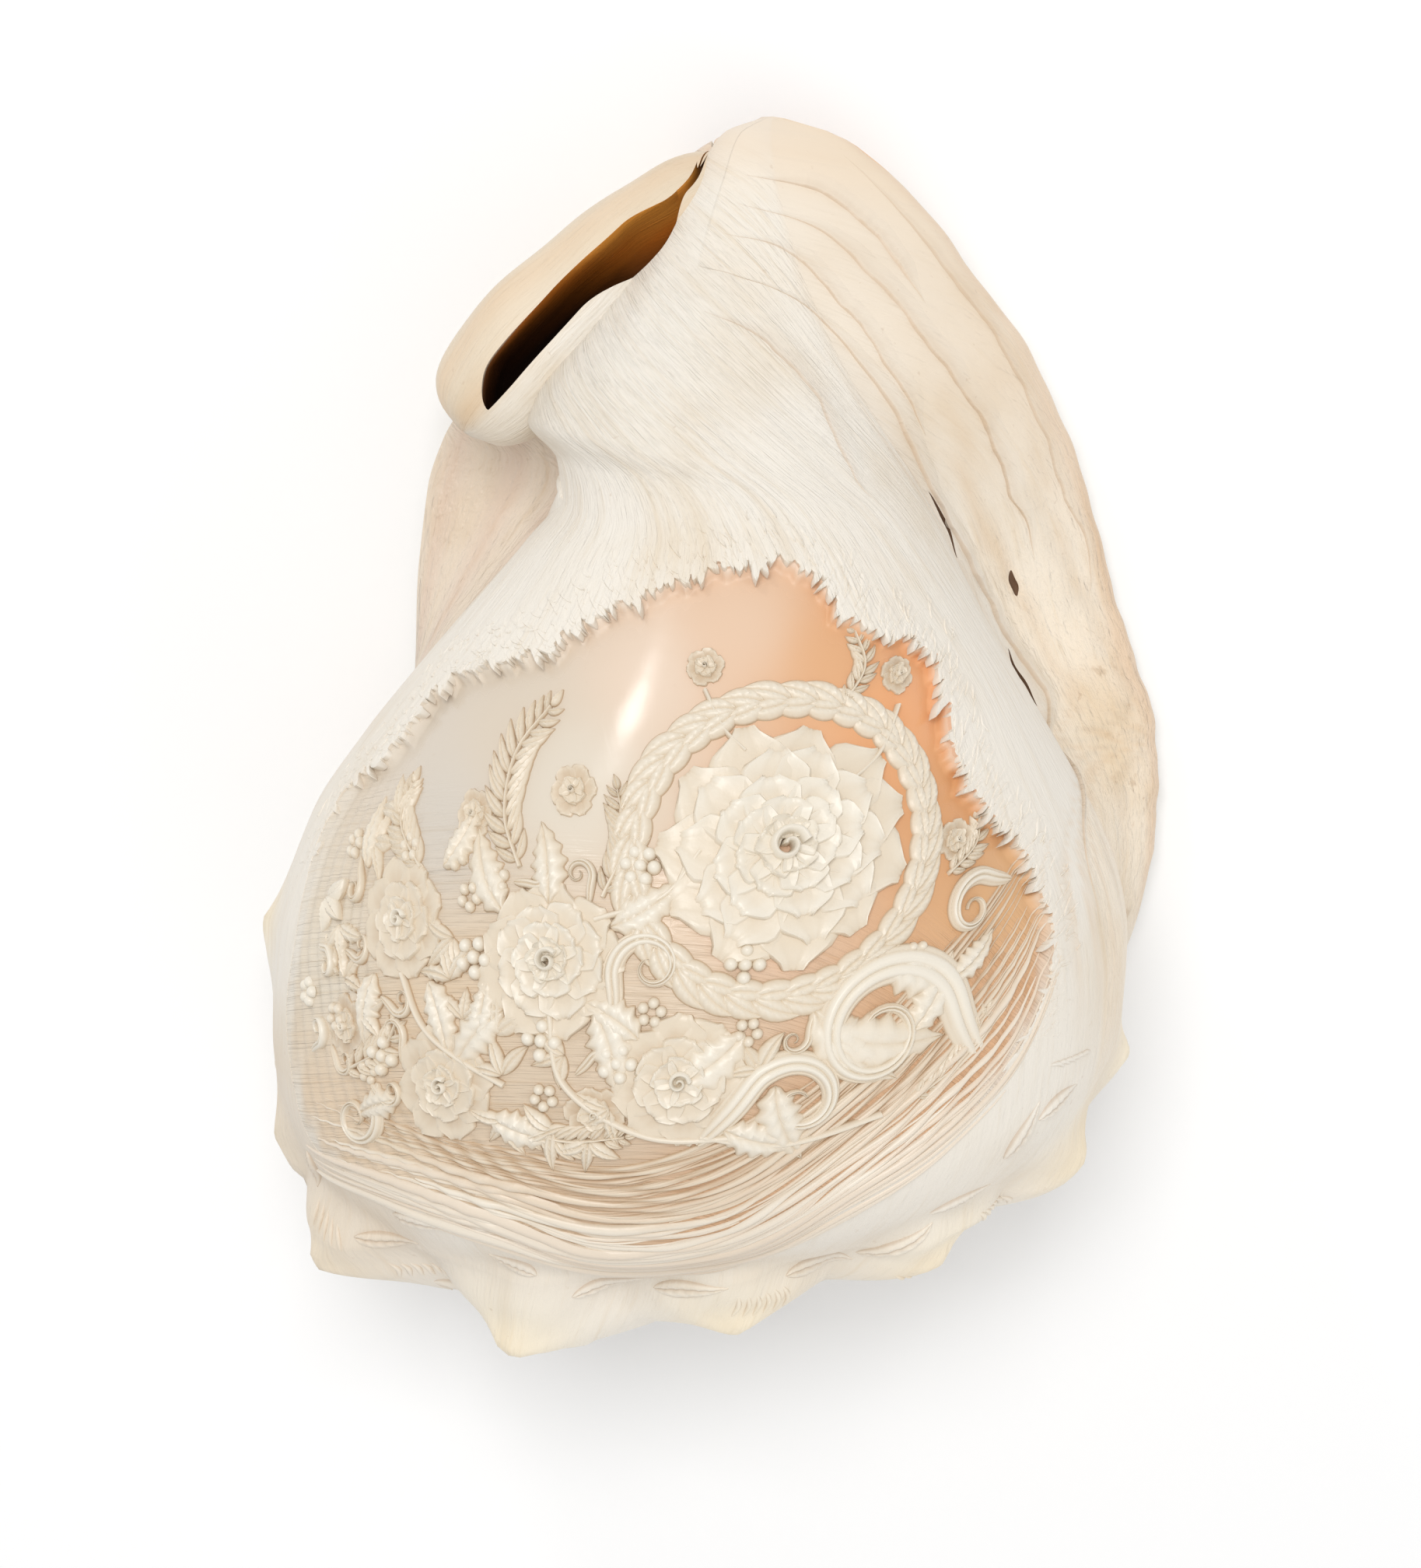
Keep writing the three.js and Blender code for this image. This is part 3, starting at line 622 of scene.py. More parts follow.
class Relief:
    """Closed strokes gathered into one piece. In the cut panel each node is marked with its lift
    above the ground, 1 at the white skin's level, and a tone. On the white skin it is marked
    with its place and station there, and a tone of painted shade."""

    def __init__(self, name, on_skin=False):
        self.name, self.on_skin, self.parts, self.count = name, on_skin, [], 0

    def add(self, rings, start, end, wv, h, tone):
        """Takes one closed stroke: its rings and ends, and their map points, levels and tones."""
        if self.on_skin:
            mark = np.concatenate([sample(flat_mark, wv), (tone + 0 * h)[..., None]], -1)
        else:
            mark = np.stack([h / RECESS + 1, tone + 0 * h], -1)
        verts, tri, uv = tube(rings, start, end, closed(mark))
        self.parts.append((verts, tri + self.count, uv))
        self.count += len(verts)

    def build(self):
        """One object of all the strokes."""
        verts, tri, uv = (np.concatenate([p[k] for p in self.parts]) for k in range(3))
        if not self.on_skin:
            return mesh_object(self.name, verts, tri, {"lift": uv})
        kind = np.stack([0 * uv[..., 2] + OUTER, uv[..., 2]], -1)
        return mesh_object(self.name, verts, tri, {"skin": uv[..., :2], "kind": kind})


FOOT = 0.8  # the half width of a stroke's foot, as a share of the stroke's own


def dome(u):
    """A stroke's usual cross-section: 1 in the middle, 0 at its edges."""
    return 1 - np.abs(u) ** 2.4


def value(f, t):
    """f at t, where f is a function or a plain number."""
    return np.asarray(f(t) if callable(f) else f + 0 * t, float)


def swell(size, low, span, power=1.0):
    """A width or a height that rises and falls along a stroke: a power of a sine."""
    return lambda t: size * np.sin(math.pi * (low + span * t)) ** power


def to_right(path):
    """The directions to the right of a path on the map."""
    way = np.gradient(path, axis=0)
    way /= np.linalg.norm(way, axis=1, keepdims=True) + 1e-9
    return np.stack([way[:, 1], -way[:, 0]], 1)


def unit(angle):
    """The direction at an angle on the map."""
    return np.array([math.cos(angle), math.sin(angle)])


def ridge(rel, keys, wide, high, n=24, m=9, base=-RECESS, cross=dome, detail=None, tone=0.0, sink=1.0,
          crowd=1.0):
    """A stroke along map points. Across it u runs from -1 to 1, over the half width, and the
    lift is the height along it times the cross-section at u. Its foot is sunk in the skin."""
    path = spline(keys, n)
    t = np.linspace(0, 1, n)
    across = to_right(path)
    w, h0, b = np.maximum(value(wide, t), 0.06), value(high, t), value(base, t)
    u = 1 - 2 * (1 - np.linspace(0, 1, m)[None]) ** crowd
    h = b[:, None] + h0[:, None] * cross(u)
    if detail is not None:
        h = h + h0[:, None] * detail(t[:, None], u)
    q = path[:, None] + across[:, None] * (w[:, None] * u)[..., None]
    inset = across * w[:, None] * FOOT
    foot = np.stack([path + inset, path - inset], 1)
    low = np.stack([b - sink, b - sink], 1)
    rings = np.concatenate([skin(q, h), skin(foot, low)], 1)
    # A stroke on the white skin gets painted shade at its sunk foot.
    foot_tone = np.full_like(low, 0.25 if rel.on_skin else 0.0)
    tones = np.concatenate([value(tone, u) + 0 * h, foot_tone], 1)
    levels = np.concatenate([h, np.full_like(low, -RECESS)], 1)
    rel.add(rings, skin(path[0], b[0] - sink * 0.5), skin(path[-1], b[-1] - sink * 0.5),
            np.concatenate([q, foot], 1), levels, tones)


def turned(at, angle, pts):
    """Points turned by an angle and moved to a place on the map."""
    pts = np.asarray(pts, float)
    c, s = math.cos(angle), math.sin(angle)
    return np.asarray(at) + np.stack([pts[:, 0] * c - pts[:, 1] * s, pts[:, 0] * s + pts[:, 1] * c], 1)


def leaf(rel, at, angle, long, wide, bend=0.25, high=1.2, base=-RECESS, lobes=0, n=22, m=9, tone=0.0):
    """A leaf with a sunk midrib, slanting veins and, if asked for, a lobed edge."""

    def half_width(t):
        """A sine that is widest before the middle, with lobes of a cosine."""
        lobed = 1 + (0.16 if lobes else 0) * np.cos(TAU * lobes * t)
        return wide * np.sin(math.pi * t**0.8) ** 0.85 * lobed

    def rise(t):
        """A quarter of the height at both ends and all of it between, on a sine."""
        return high * (0.25 + 0.75 * np.sin(math.pi * np.clip(t, 0, 1) ** 0.7))

    def blade(u):
        """Round across, with a narrow bell-shaped groove for the midrib."""
        return 1 - np.abs(u) ** 2.6 - 0.42 * np.exp(-((u / 0.16) ** 2))

    def veins(t, u):
        """A cosine that runs on along the leaf and slants back towards its edges."""
        off = np.abs(u)
        return 0.15 * np.cos(TAU * (6.5 * t - 1.3 * off)) * (1 - off) * (off > 0.15)

    s = np.linspace(0, 1, 6)
    keys = turned(at, angle, np.stack([long * s, bend * long * s * s], 1))
    ridge(rel, keys, half_width, rise, n, m, base, blade, veins, tone)


def petal(rel, at, angle, long, wide, low, high):
    """A cupped petal: it rises outwards to a rolled rim and falls steeply at its edge."""

    def half_width(t):
        """Part of a circle, drawn in near the tip."""
        rounded = np.sqrt(np.clip(1 - (1.0 - t * 1.02 - 0.2) ** 2 * 1.2, 0.02, 1))
        return wide * rounded * (1 - 0.72 * smooth(0.72, 1.0, t))

    def cup(u):
        """Half as high in the middle as towards the edges, where it falls."""
        return (0.50 + 0.50 * np.abs(u) ** 1.8) * (1 - 0.9 * smooth(0.86, 1.0, np.abs(u)))

    def flutes(t, u):
        """Fine flutes across, and a rim that swells before it drops."""
        rolled = 0.16 * np.exp(-(((t - 0.86) / 0.1) ** 2)) - 0.35 * smooth(0.93, 1.0, t)
        return 0.07 * np.cos(13 * u) * t + rolled

    s = np.linspace(0, 1, 5)
    keys = turned(at, angle, np.stack([long * s, 0.06 * long * np.sin(3 * s)], 1))
    ridge(rel, keys, half_width, lambda t: low + (high - low) * t**1.3, 16, 13,
          cross=cup, detail=flutes, sink=1.4)


def rose(rel, at, size, rows, high, spin):
    """An open blossom: rings of petals, each ring higher and closer in, round a coiled bud. A
    row of rows is its number of petals, their reach and their half width, as shares of size."""
    for k, (count, reach, wide) in enumerate(rows):
        f = k / len(rows)
        for i in range(count):
            a = spin + TAU * (i + 0.5 * (k % 2)) / count + rng.normal(0, 0.05)
            start = at + 0.10 * size * unit(a) * (1 - 0.5 * f)
            petal(rel, start, a, (reach - 0.1) * size * rng.uniform(0.94, 1.05), wide * size * 1.12,
                  high * (0.15 + 0.75 * f), high * (0.38 + 0.62 * f))
    s = np.linspace(0, 1, 14)
    r = 0.15 * size * (1 - 0.85 * s)
    coil = at + np.stack([r * np.cos(9 * s + spin), r * np.sin(9 * s + spin)], 1)
    ridge(rel, coil, lambda t: 0.055 * size * (1 - 0.5 * t), high * 1.05, 40, 7)


def scroll(rel, at, angle, size, turns, wide, hand, high, tail, base=-RECESS, grooves=3, n=70, m=19):
    """A fluted tendril that comes in along a tail and rolls up into an eye."""

    def half_width(t):
        """A sine that is widest early on, and narrows towards the eye."""
        return wide * size * (0.35 + np.sin(math.pi * np.clip(t, 0, 1) ** 0.6)) * (1 - 0.55 * t)

    def rise(t):
        """Highest about the middle, and nearly half as high at both ends."""
        return high * (0.45 + 0.55 * np.sin(math.pi * t**0.8))

    def flutes(_, u):
        """Round grooves across, the cube of a cosine, that fade at the edges."""
        return -0.36 * (0.5 + 0.5 * np.cos(TAU * grooves * u * 0.5)) ** 3 * (1 - u**4)

    s = np.linspace(0, 1, 26)
    a = TAU * turns * s
    r = size * np.exp(-1.55 * s)
    coil = np.stack([r * np.cos(a), hand * r * np.sin(a)], 1)
    lead = np.array([
        [size * (1 + 0.10 * tail), -hand * size * tail], [size * 1.03, -hand * size * 0.45 * tail]])
    keys = turned(at, angle, np.vstack([lead, coil]))
    ridge(rel, keys, half_width, rise, n, m, base, lambda u: 1 - np.abs(u) ** 3.2, flutes, sink=1.2)


def mound(rel, at, size, high, base=-RECESS, n=6, m=14):
    """A round berry: the upper half of a ball, drawn to the height given."""
    f = np.linspace(0, 0.46 * math.pi, n)[:, None]
    a = np.linspace(0, TAU, m, endpoint=False)[None]
    wv = at + np.stack([size * np.cos(f) * np.cos(a), size * np.cos(f) * np.sin(a)], -1)
    h = base + high * np.sin(f) + 0 * a
    rel.add(skin(wv, h), skin(at, base - 1.0), skin(at, base + high), wv, h, 0.0)


def fern(rel, keys, count, long, wide):
    """A stem with paired leaflets, longest near the middle."""
    high = 1.1
    path = spline(keys, 4 * count)
    ridge(rel, keys, lambda t: 0.5 * (1 - 0.6 * t), high * 0.8, 3 * count, 7)
    for i in range(count):
        t = (i + 0.6) / count
        j = min(int(t * (len(path) - 1)), len(path) - 2)
        way = path[j + 1] - path[j]
        a = math.atan2(way[1], way[0])
        size = long * (0.45 + 0.75 * math.sin(math.pi * min(t * 0.85 + 0.12, 1)))
        for side in (-1, 1):
            leaf(rel, path[j], a + side * 0.95, size, wide * size / long, -0.28 * side, high, n=12, m=7)
    leaf(rel, path[-1], a, long * 0.6, wide * 0.8, 0.1, high, n=12, m=7)


# The ornament
flowers, foliage, furrows = Relief("blossoms"), Relief("foliage"), Relief("furrows")
fringe = Relief("skin_ridges", on_skin=True)

# Furrows: flowing lines that fan out between two guides, from the lower left to the upper right.
N_GUIDE, N_FURROWS, N_ON_FURROW = 40, 170, 44
low_guide = spline(spots([
    (383, 1492), (490, 1550), (640, 1604), (780, 1640), (940, 1628), (1085, 1566), (1210, 1488),
    (1312, 1380), (1368, 1245)]), N_GUIDE)
high_guide = spline(spots([
    (398, 1400), (520, 1455), (650, 1495), (780, 1512), (900, 1486), (1020, 1420), (1130, 1325),
    (1235, 1200), (1325, 1078)]), N_GUIDE)
for i in range(N_FURROWS):
    f = min(max(i / (N_FURROWS - 1) + rng.normal(0, 0.012), 0.0), 1.0)
    t0 = rng.uniform(0, 0.7)
    t1 = min(t0 + rng.uniform(0.18, 0.6), 1.0)
    t = np.linspace(t0, t1, 22)
    mixed = low_guide + (high_guide - low_guide) * f
    path = np.stack([np.interp(t * (N_GUIDE - 1), np.arange(N_GUIDE), mixed[:, c]) for c in (0, 1)], 1)
    sway = 0.9 * np.sin(TAU * t * rng.uniform(1.2, 2.8) + rng.uniform(0, 6))
    sway = sway * np.sin(math.pi * (t - t0) / (t1 - t0))
    path = spline(path + to_right(path) * sway[:, None], N_ON_FURROW)
    under = level(path)
    size = rng.uniform(0.22, 0.60)
    if i % 5 == 0 and f < 0.75:
        size = rng.uniform(0.8, 1.35) * (1 - 0.5 * t0)
    ridge(furrows, path, lambda t: size * (0.15 + 0.9 * np.sin(math.pi * t) ** 0.8),
          lambda t: swell(0.85 * size, 0.02, 0.96, 0.6)(t) + 0.05, N_ON_FURROW, 5,
          lambda t: np.interp(t, np.linspace(0, 1, N_ON_FURROW), under) - 0.05,
          tone=rng.uniform(0, 0.5) + 0.35 * t1 * (1 - f))


def flake(u):
    """A tooth's cross-section: it rises from one edge and drops at the other."""
    return (0.25 + 0.75 * smooth(-1, 0.6, u)) * (1 - smooth(0.7, 1.0, np.abs(u)))


# The torn edge of the white skin: teeth that stand over the panel, and chips behind them.
at_border = 0.0
while at_border < N_BORDER:
    k = int(at_border)
    sharp = float(border_sharp[k])
    inward = math.atan2(-out_dir[k][1], -out_dir[k][0])
    if sharp > 0.05:
        rows_here = [(rng.uniform(0.8, 2.6), rng.uniform(0.2, 1.7), rng.uniform(0.7, 1.6), 0.20)]
        rows_here += [(rng.uniform(1.5, 11.0), 0, rng.uniform(0.6, 1.5), 0.24) for _ in range(2)]
        for behind, beyond, wide, rise in rows_here:
            at = MIDST + out_dir[k] * (border_far[k] + behind)
            if beyond > 0:
                long = behind + beyond * sharp * (0.5 if out_dir[k][0] > 0.5 else 1)
            else:
                long = rng.uniform(2.5, 6.0)
            a = inward + rng.normal(0.25, 0.33)
            rise = rise * rng.uniform(0.5, 1.2) * (0.4 + 0.6 * sharp)
            line = turned(at, a, [(0, 0), (0.5 * long, 0.1 * long * rng.normal()), (long, 0)])
            ridge(fringe, line, lambda t: wide * (1 - t) ** 0.5 * np.minimum(1, 0.3 + 3 * t),
                  lambda t: rise * np.minimum(1, 3 * t) + 0.05, 7, 7, -0.05, flake, sink=1.7)
    at_border += rng.uniform(1.1, 2.3)


def step_up(u):
    """A ledge's cross-section: a long slope up, then a steep fall."""
    return smooth(-1.02, 0.80, u) ** 0.6 * (1 - smooth(0.84, 1.0, u))


# Growth ledges of the outer lip; the first divides the white skin from the bare, tan lip.
LEDGES = [
    ([(898, 342), (950, 356), (1028, 388), (1104, 466), (1172, 576), (1224, 682), (1283, 800),
      (1347, 918), (1392, 1066), (1414, 1190)], 2.0, 1.0),
    ([(950, 262), (1050, 294), (1128, 364), (1200, 454), (1255, 530), (1290, 610), (1330, 720)], 2.3, 0.8),
    ([(930, 300), (1010, 322), (1085, 395), (1140, 470), (1190, 560)], 1.9, 0.6),
    ([(1085, 200), (1165, 282), (1232, 368), (1290, 450), (1336, 545), (1372, 650), (1400, 770)], 3.0, 0.45),
    ([(960, 225), (1060, 250), (1130, 310), (1190, 390)], 2.2, 0.6),
    ([(905, 400), (985, 440), (1060, 530), (1120, 640)], 2.6, 0.5)]
N_LEDGE = 150
down = np.linspace(0, 1, N_LEDGE)
for number, (points, wide, high) in enumerate(LEDGES):
    path = spline(spots(points), N_LEDGE)
    far = np.linalg.norm(path[-1] - path[0]) * down
    bumps = sum(a * np.sin(f * far + number) for a, f in ((0.38, 0.35), (0.16, 0.8), (0.045, 1.7)))
    path[:, 0] += bumps * np.sin(math.pi * down)
    taper = 0.04 + 0.96 * smooth(-0.01, 0.26, down) * (1 - smooth(0.80, 1.01, down))
    path = path - to_right(path) * (0.92 * wide * taper)[:, None]
    torn = np.convolve(rng.normal(0, 1, N_LEDGE + 4), [0.2, 0.3, 0.3, 0.2, 0.2], "valid")
    # Each ledge carries painted shade through its tone, darkest on its steep fall.
    ridge(fringe, path, lambda t: np.interp(t, down, wide * taper),
          lambda t: high * (0.85 + 0.22 * np.interp(t, down, torn)) * np.interp(t, down, taper) + 0.05,
          220, 13, -0.04, step_up, None, lambda u: 0.15 * smooth(-0.2, 0.6, u) + 0.38 * smooth(0.80, 0.93, u),
          1.5, 2.0)

# The rolled edge of the canal's slot, and the fold that runs on from it round the neck.
for points, wide, high, n, base in (
        ([(728, 418), (690, 464), (668, 508), (655, 548)],
         (1.5, 0.05, 0.9, 0.4), (1.1, 0.04, 0.9, 0.5), 60, -0.3),
        ([(655, 548), (690, 566), (716, 596), (722, 634), (700, 672), (655, 716)],
         (2.4, 0.05, 0.9, 0.6), (0.9, 0.03, 0.94, 0.7), 50, -0.25)):
    ridge(fringe, spots(points), swell(*wide), swell(*high), n, 11, base)

# Blossoms.
LARGE = ((11, 1.0, 0.30), (10, 0.82, 0.27), (8, 0.63, 0.24), (7, 0.45, 0.20), (5, 0.28, 0.15))
FULL = ((9, 1.0, 0.36), (8, 0.74, 0.31), (6, 0.50, 0.25), (5, 0.30, 0.17))
LOOSE = ((8, 1.0, 0.38), (7, 0.68, 0.32), (5, 0.4, 0.24))
PLAIN = ((8, 1.0, 0.38), (6, 0.66, 0.32), (5, 0.38, 0.22))
SMALL = ((6, 1.0, 0.46), (5, 0.55, 0.36))
for x, y, size, high, spin, petals in (
        (1015, 1085, 23, 3.5, 0.3, LARGE), (700, 1235, 14, 3.0, 0.8, FULL),
        (872, 1395, 12.5, 2.4, 0.1, LOOSE), (505, 1180, 10.5, 2.2, 0.5, PLAIN),
        (560, 1400, 10.5, 2.2, 1.1, PLAIN)):
    rose(flowers, spot(x, y), size, petals, high, spin)
for x, y, size in (
        (730, 1010, 4.6), (600, 1040, 4.4), (905, 850, 3.6), (1240, 1075, 4.2), (760, 1440, 5.5),
        (430, 1320, 5.5), (1165, 860, 4.0)):
    rose(flowers, spot(x, y), size, SMALL, 1.5, x)

# A garland of leaves round the large blossom.
hub, GARLAND, N_GARLAND = spot(1015, 1085), 27.5, 34
for i in range(N_GARLAND):
    a = TAU * i / N_GARLAND
    for side in (-1, 1):
        leaf(foliage, hub + GARLAND * unit(a), a + math.pi / 2 + side * 0.5, 9.0 * rng.uniform(0.9, 1.1),
             2.3, -0.3 * side, 1.3, n=18)
# Scrolls sweep away from it.
for x, y, a, size, turns, wide, hand, high, tail in (
        (1140, 1330, 0.4, 15, 1.5, 0.24, 1, 2.1, 1.3), (1030, 1425, 2.6, 9.5, 1.3, 0.26, -1, 1.9, 1.6),
        (1262, 1165, 1.2, 6.5, 1.3, 0.25, 1, 1.6, 1.2), (835, 1245, 3.4, 7.0, 1.3, 0.25, -1, 1.6, 1.2),
        (445, 1440, 0.2, 6.0, 1.3, 0.25, -1, 1.5, 1.2)):
    scroll(foliage, spot(x, y), a, size, turns, wide, hand, high, tail)
# Lobed leaves fan out beneath the scrolls.
for x, y, a, long, wide, bend in (
    (1060, 1330, -0.4, 24, 5.2, 0.25), (1050, 1300, -1.0, 22, 5.0, 0.3), (1130, 1240, -0.15, 20, 4.6, -0.3),
    (1180, 1330, 0.9, 16, 4.2, 0.2), (960, 1330, -2.2, 18, 4.6, -0.3), (1000, 1400, -1.5, 16, 4.2, 0.3),
    (640, 1300, -2.5, 15, 3.8, 0.3), (760, 1300, -0.9, 15, 4.0, -0.3), (780, 1190, 0.4, 14, 3.6, 0.3),
    (640, 1170, 2.5, 15, 3.8, -0.3), (700, 1160, 1.7, 14, 3.4, 0.2), (470, 1250, -1.9, 13, 3.4, 0.3),
    (540, 1260, -0.8, 13, 3.4, -0.3), (460, 1110, 2.0, 12, 3.0, -0.2), (560, 1110, 0.9, 12, 3.0, 0.3),
    (820, 1340, 2.4, 12, 3.4, 0.3), (930, 1460, -0.5, 14, 3.8, 0.2), (500, 1420, -2.8, 12, 3.0, 0.2),
    (620, 1440, -0.4, 14, 3.4, 0.2), (600, 1340, 1.2, 11, 3.0, 0.3), (1230, 1260, 0.3, 12, 3.0, 0.4)):
    leaf(foliage, spot(x, y), a, long, wide, bend, 1.7, lobes=6, n=34, m=11)
# Ferns and sprays.
for pts, count, long, wide in (
    ([(660, 1110), (640, 1040), (655, 960), (700, 900)], 12, 6.5, 1.2),
    ([(530, 1110), (505, 1050), (520, 1000)], 9, 5.5, 1.1),
    ([(770, 1150), (800, 1080), (790, 1010)], 9, 5.0, 1.0),
    ([(1090, 900), (1120, 850), (1105, 800)], 8, 3.6, 0.8),
    ([(1230, 1120), (1265, 1080), (1270, 1040)], 7, 4.0, 0.9),
    ([(650, 1450), (720, 1475), (800, 1470)], 9, 4.5, 1.0),
    ([(420, 1250), (400, 1190), (415, 1130)], 8, 4.5, 1.0),
    ([(430, 1380), (480, 1350), (500, 1310)], 7, 4.5, 1.0),
    ([(1180, 1420), (1240, 1370), (1280, 1300)], 9, 4.5, 1.0)):
    fern(foliage, spots(pts), count, long, wide)
# Berries and buds.
for x, y, n in (
        (820, 1110, 7), (600, 1230, 6), (790, 1370, 6), (960, 1240, 5), (480, 1360, 5), (690, 1340, 5)):
    for k in range(n):
        reach = 0 if k == n - 1 else 2.5
        mound(flowers, spot(x, y) + reach * unit(TAU * k / (n - 1)), 1.35, 1.7)
# Stems.
for pts, wide in (
        ([(700, 1300), (720, 1400), (830, 1470), (960, 1470)], 0.8),
        ([(505, 1250), (540, 1330), (640, 1400)], 0.7), ([(1140, 1440), (1010, 1480), (900, 1470)], 0.8),
        ([(760, 1180), (850, 1150), (900, 1090)], 0.7), ([(1165, 900), (1140, 960), (1100, 1000)], 0.6),
        ([(905, 880), (930, 930), (960, 960)], 0.5)):
    ridge(foliage, spots(pts), wide, 1.1, 40, 7)


def shaded_edges(u):
    """A leaf's tone of painted shade: darker at its edges and along its midrib."""
    return 0.65 * smooth(0.62, 0.95, np.abs(u)) + 0.45 * np.exp(-((u / 0.16) ** 2))


# Leaves and combed strokes cut into the shoulder between the knobs, with painted shade at their edges and
# along the leaves' midribs.
for x, y, a, long in (
        (455, 1590, -0.2, 13), (560, 1650, -0.5, 15), (505, 1560, 0.1, 12), (735, 1668, 0.15, 15),
        (840, 1655, 0.45, 14), (690, 1640, 2.6, 11), (1010, 1640, 0.0, 14), (1100, 1610, 0.6, 15),
        (1195, 1560, 0.3, 14), (1290, 1490, 0.9, 14), (1335, 1440, 0.4, 12), (395, 1480, -1.2, 11)):
    leaf(fringe, spot(x, y), a, long, 2.5, rng.uniform(-0.25, 0.25), 1.2, -0.16, 0, 24, 13, shaded_edges)
for x, y, a, count in (
        (500, 1625, -1.3, 7), (800, 1690, -1.5, 7), (950, 1668, -1.7, 6), (1150, 1640, -1.0, 7),
        (1260, 1560, -1.0, 6), (1350, 1370, -0.5, 6), (410, 1540, -1.6, 5)):
    for k in range(count):
        start = spot(x, y) + [1.9 * k, -0.5 * k]
        ridge(fringe, turned(start, a + 0.05 * k, [(0, 0), (2.6, 0.7), (5.6, 0.2)]),
              swell(0.62, 0.08, 0.88, 0.7), swell(0.55, 0.06, 0.9), 12, 7, -0.08,
              tone=lambda u: 0.5 * smooth(0.5, 0.95, np.abs(u)))

# Small sprigs, curls and berries fill the gaps of the lower panel.
TRIES, CLOSEST, FARTHEST_OUT = 2200, 6.0, 0.925
taken = [(spot(x, y), r) for x, y, r in (
    (1015, 1085, 33), (700, 1235, 15), (872, 1395, 13), (505, 1180, 11.5), (560, 1400, 11.5),
    (1140, 1330, 15), (1030, 1425, 9), (835, 1245, 7))]
over_line = spots([
    (395, 1120), (500, 1040), (640, 1120), (760, 1090), (850, 1120), (1000, 1250), (1180, 1230),
    (1290, 1120)])
for _ in range(TRIES):
    at = MIDST + rng.uniform([-82, -52], [66, 25])
    lowest = np.interp(at[0], high_guide[:, 0], high_guide[:, 1]) + 5
    highest = np.interp(at[0], over_line[:, 0], over_line[:, 1])
    if border_at(at[None])[0][0] > FARTHEST_OUT or not lowest < at[1] < highest:
        continue
    if any(np.hypot(*(at - c)) < r for c, r in taken):
        continue
    taken.append((at, CLOSEST))
    a, pick = rng.uniform(0, TAU), rng.integers(0, 5)
    under = float(level(at[None])[0])
    if pick == 0:
        for k in range(5):
            mound(flowers, at + 1.7 * unit(a + k * 1.257), 1.1, 1.3, under, 5, 10)
    elif pick == 1:
        scroll(foliage, at, a, 2.8, 1.2, 0.28, 1 if a > 3 else -1, 1.3, 1.6, under, 2, 34, 9)
    else:
        for spread in (-0.8, 0.0, 0.8):
            leaf(foliage, at, a + spread, rng.uniform(5.5, 8.0), rng.uniform(1.3, 1.9), 0.4 * spread,
                 rng.uniform(1.1, 1.6), under, 5 if pick == 2 else 0, 16, 7)

relief_pieces = [rel.build() for rel in (flowers, foliage, furrows, fringe)]
skin_ridges = relief_pieces[-1]

# Marks on the skin's corners
WHITE = np.array([0.82, 0.765, 0.678])
CREAM = np.array([0.825, 0.738, 0.592])
TAN = np.array([0.790, 0.625, 0.455])
PEACH = np.array([0.70, 0.375, 0.185])
PINK = np.array([0.745, 0.575, 0.445])
GREY = np.array([0.665, 0.605, 0.515])
BEIGE = np.array([0.61, 0.495, 0.370])
RUST = np.array([0.56, 0.335, 0.190])
AMBER = np.array([0.62, 0.27, 0.045])
DARK = np.array([0.012, 0.005, 0.003])
# Painted shade for the strokes on the white skin: their feet, the ledges' steep falls and carved grooves.
PAINTED_SHADE = np.array([0.48, 0.34, 0.22])
ledge = sample(flat_mark, spline(spots(LEDGES[0][0]), 60))
ledge = ledge[np.argsort(ledge[:, 1])]


def blend(colour, other, amount):
    """A mix of two colours at each corner: none of the other at 0, all of it at 1."""
    amount = np.clip(amount, 0, 1)[:, None]
    return colour * (1 - amount) + other * amount


def corner_values(me, layer):
    """A UV layer's two numbers at each corner."""
    a = np.empty(len(me.loops) * 2, np.float32)
    me.uv_layers[layer].data.foreach_get("uv", a)
    return a.reshape(-1, 2).astype(float)


def layered(tint, layers):
    """A colour with layers of other colours over it, each with its amount."""
    for colour, amount in layers:
        tint = blend(tint, colour, amount)
    return tint


# Places where the shield begins and where the underside begins.
AT_SHIELD, AT_UNDER = N_LIP + N_BODY, N_LIP + N_BODY + N_SHIELD


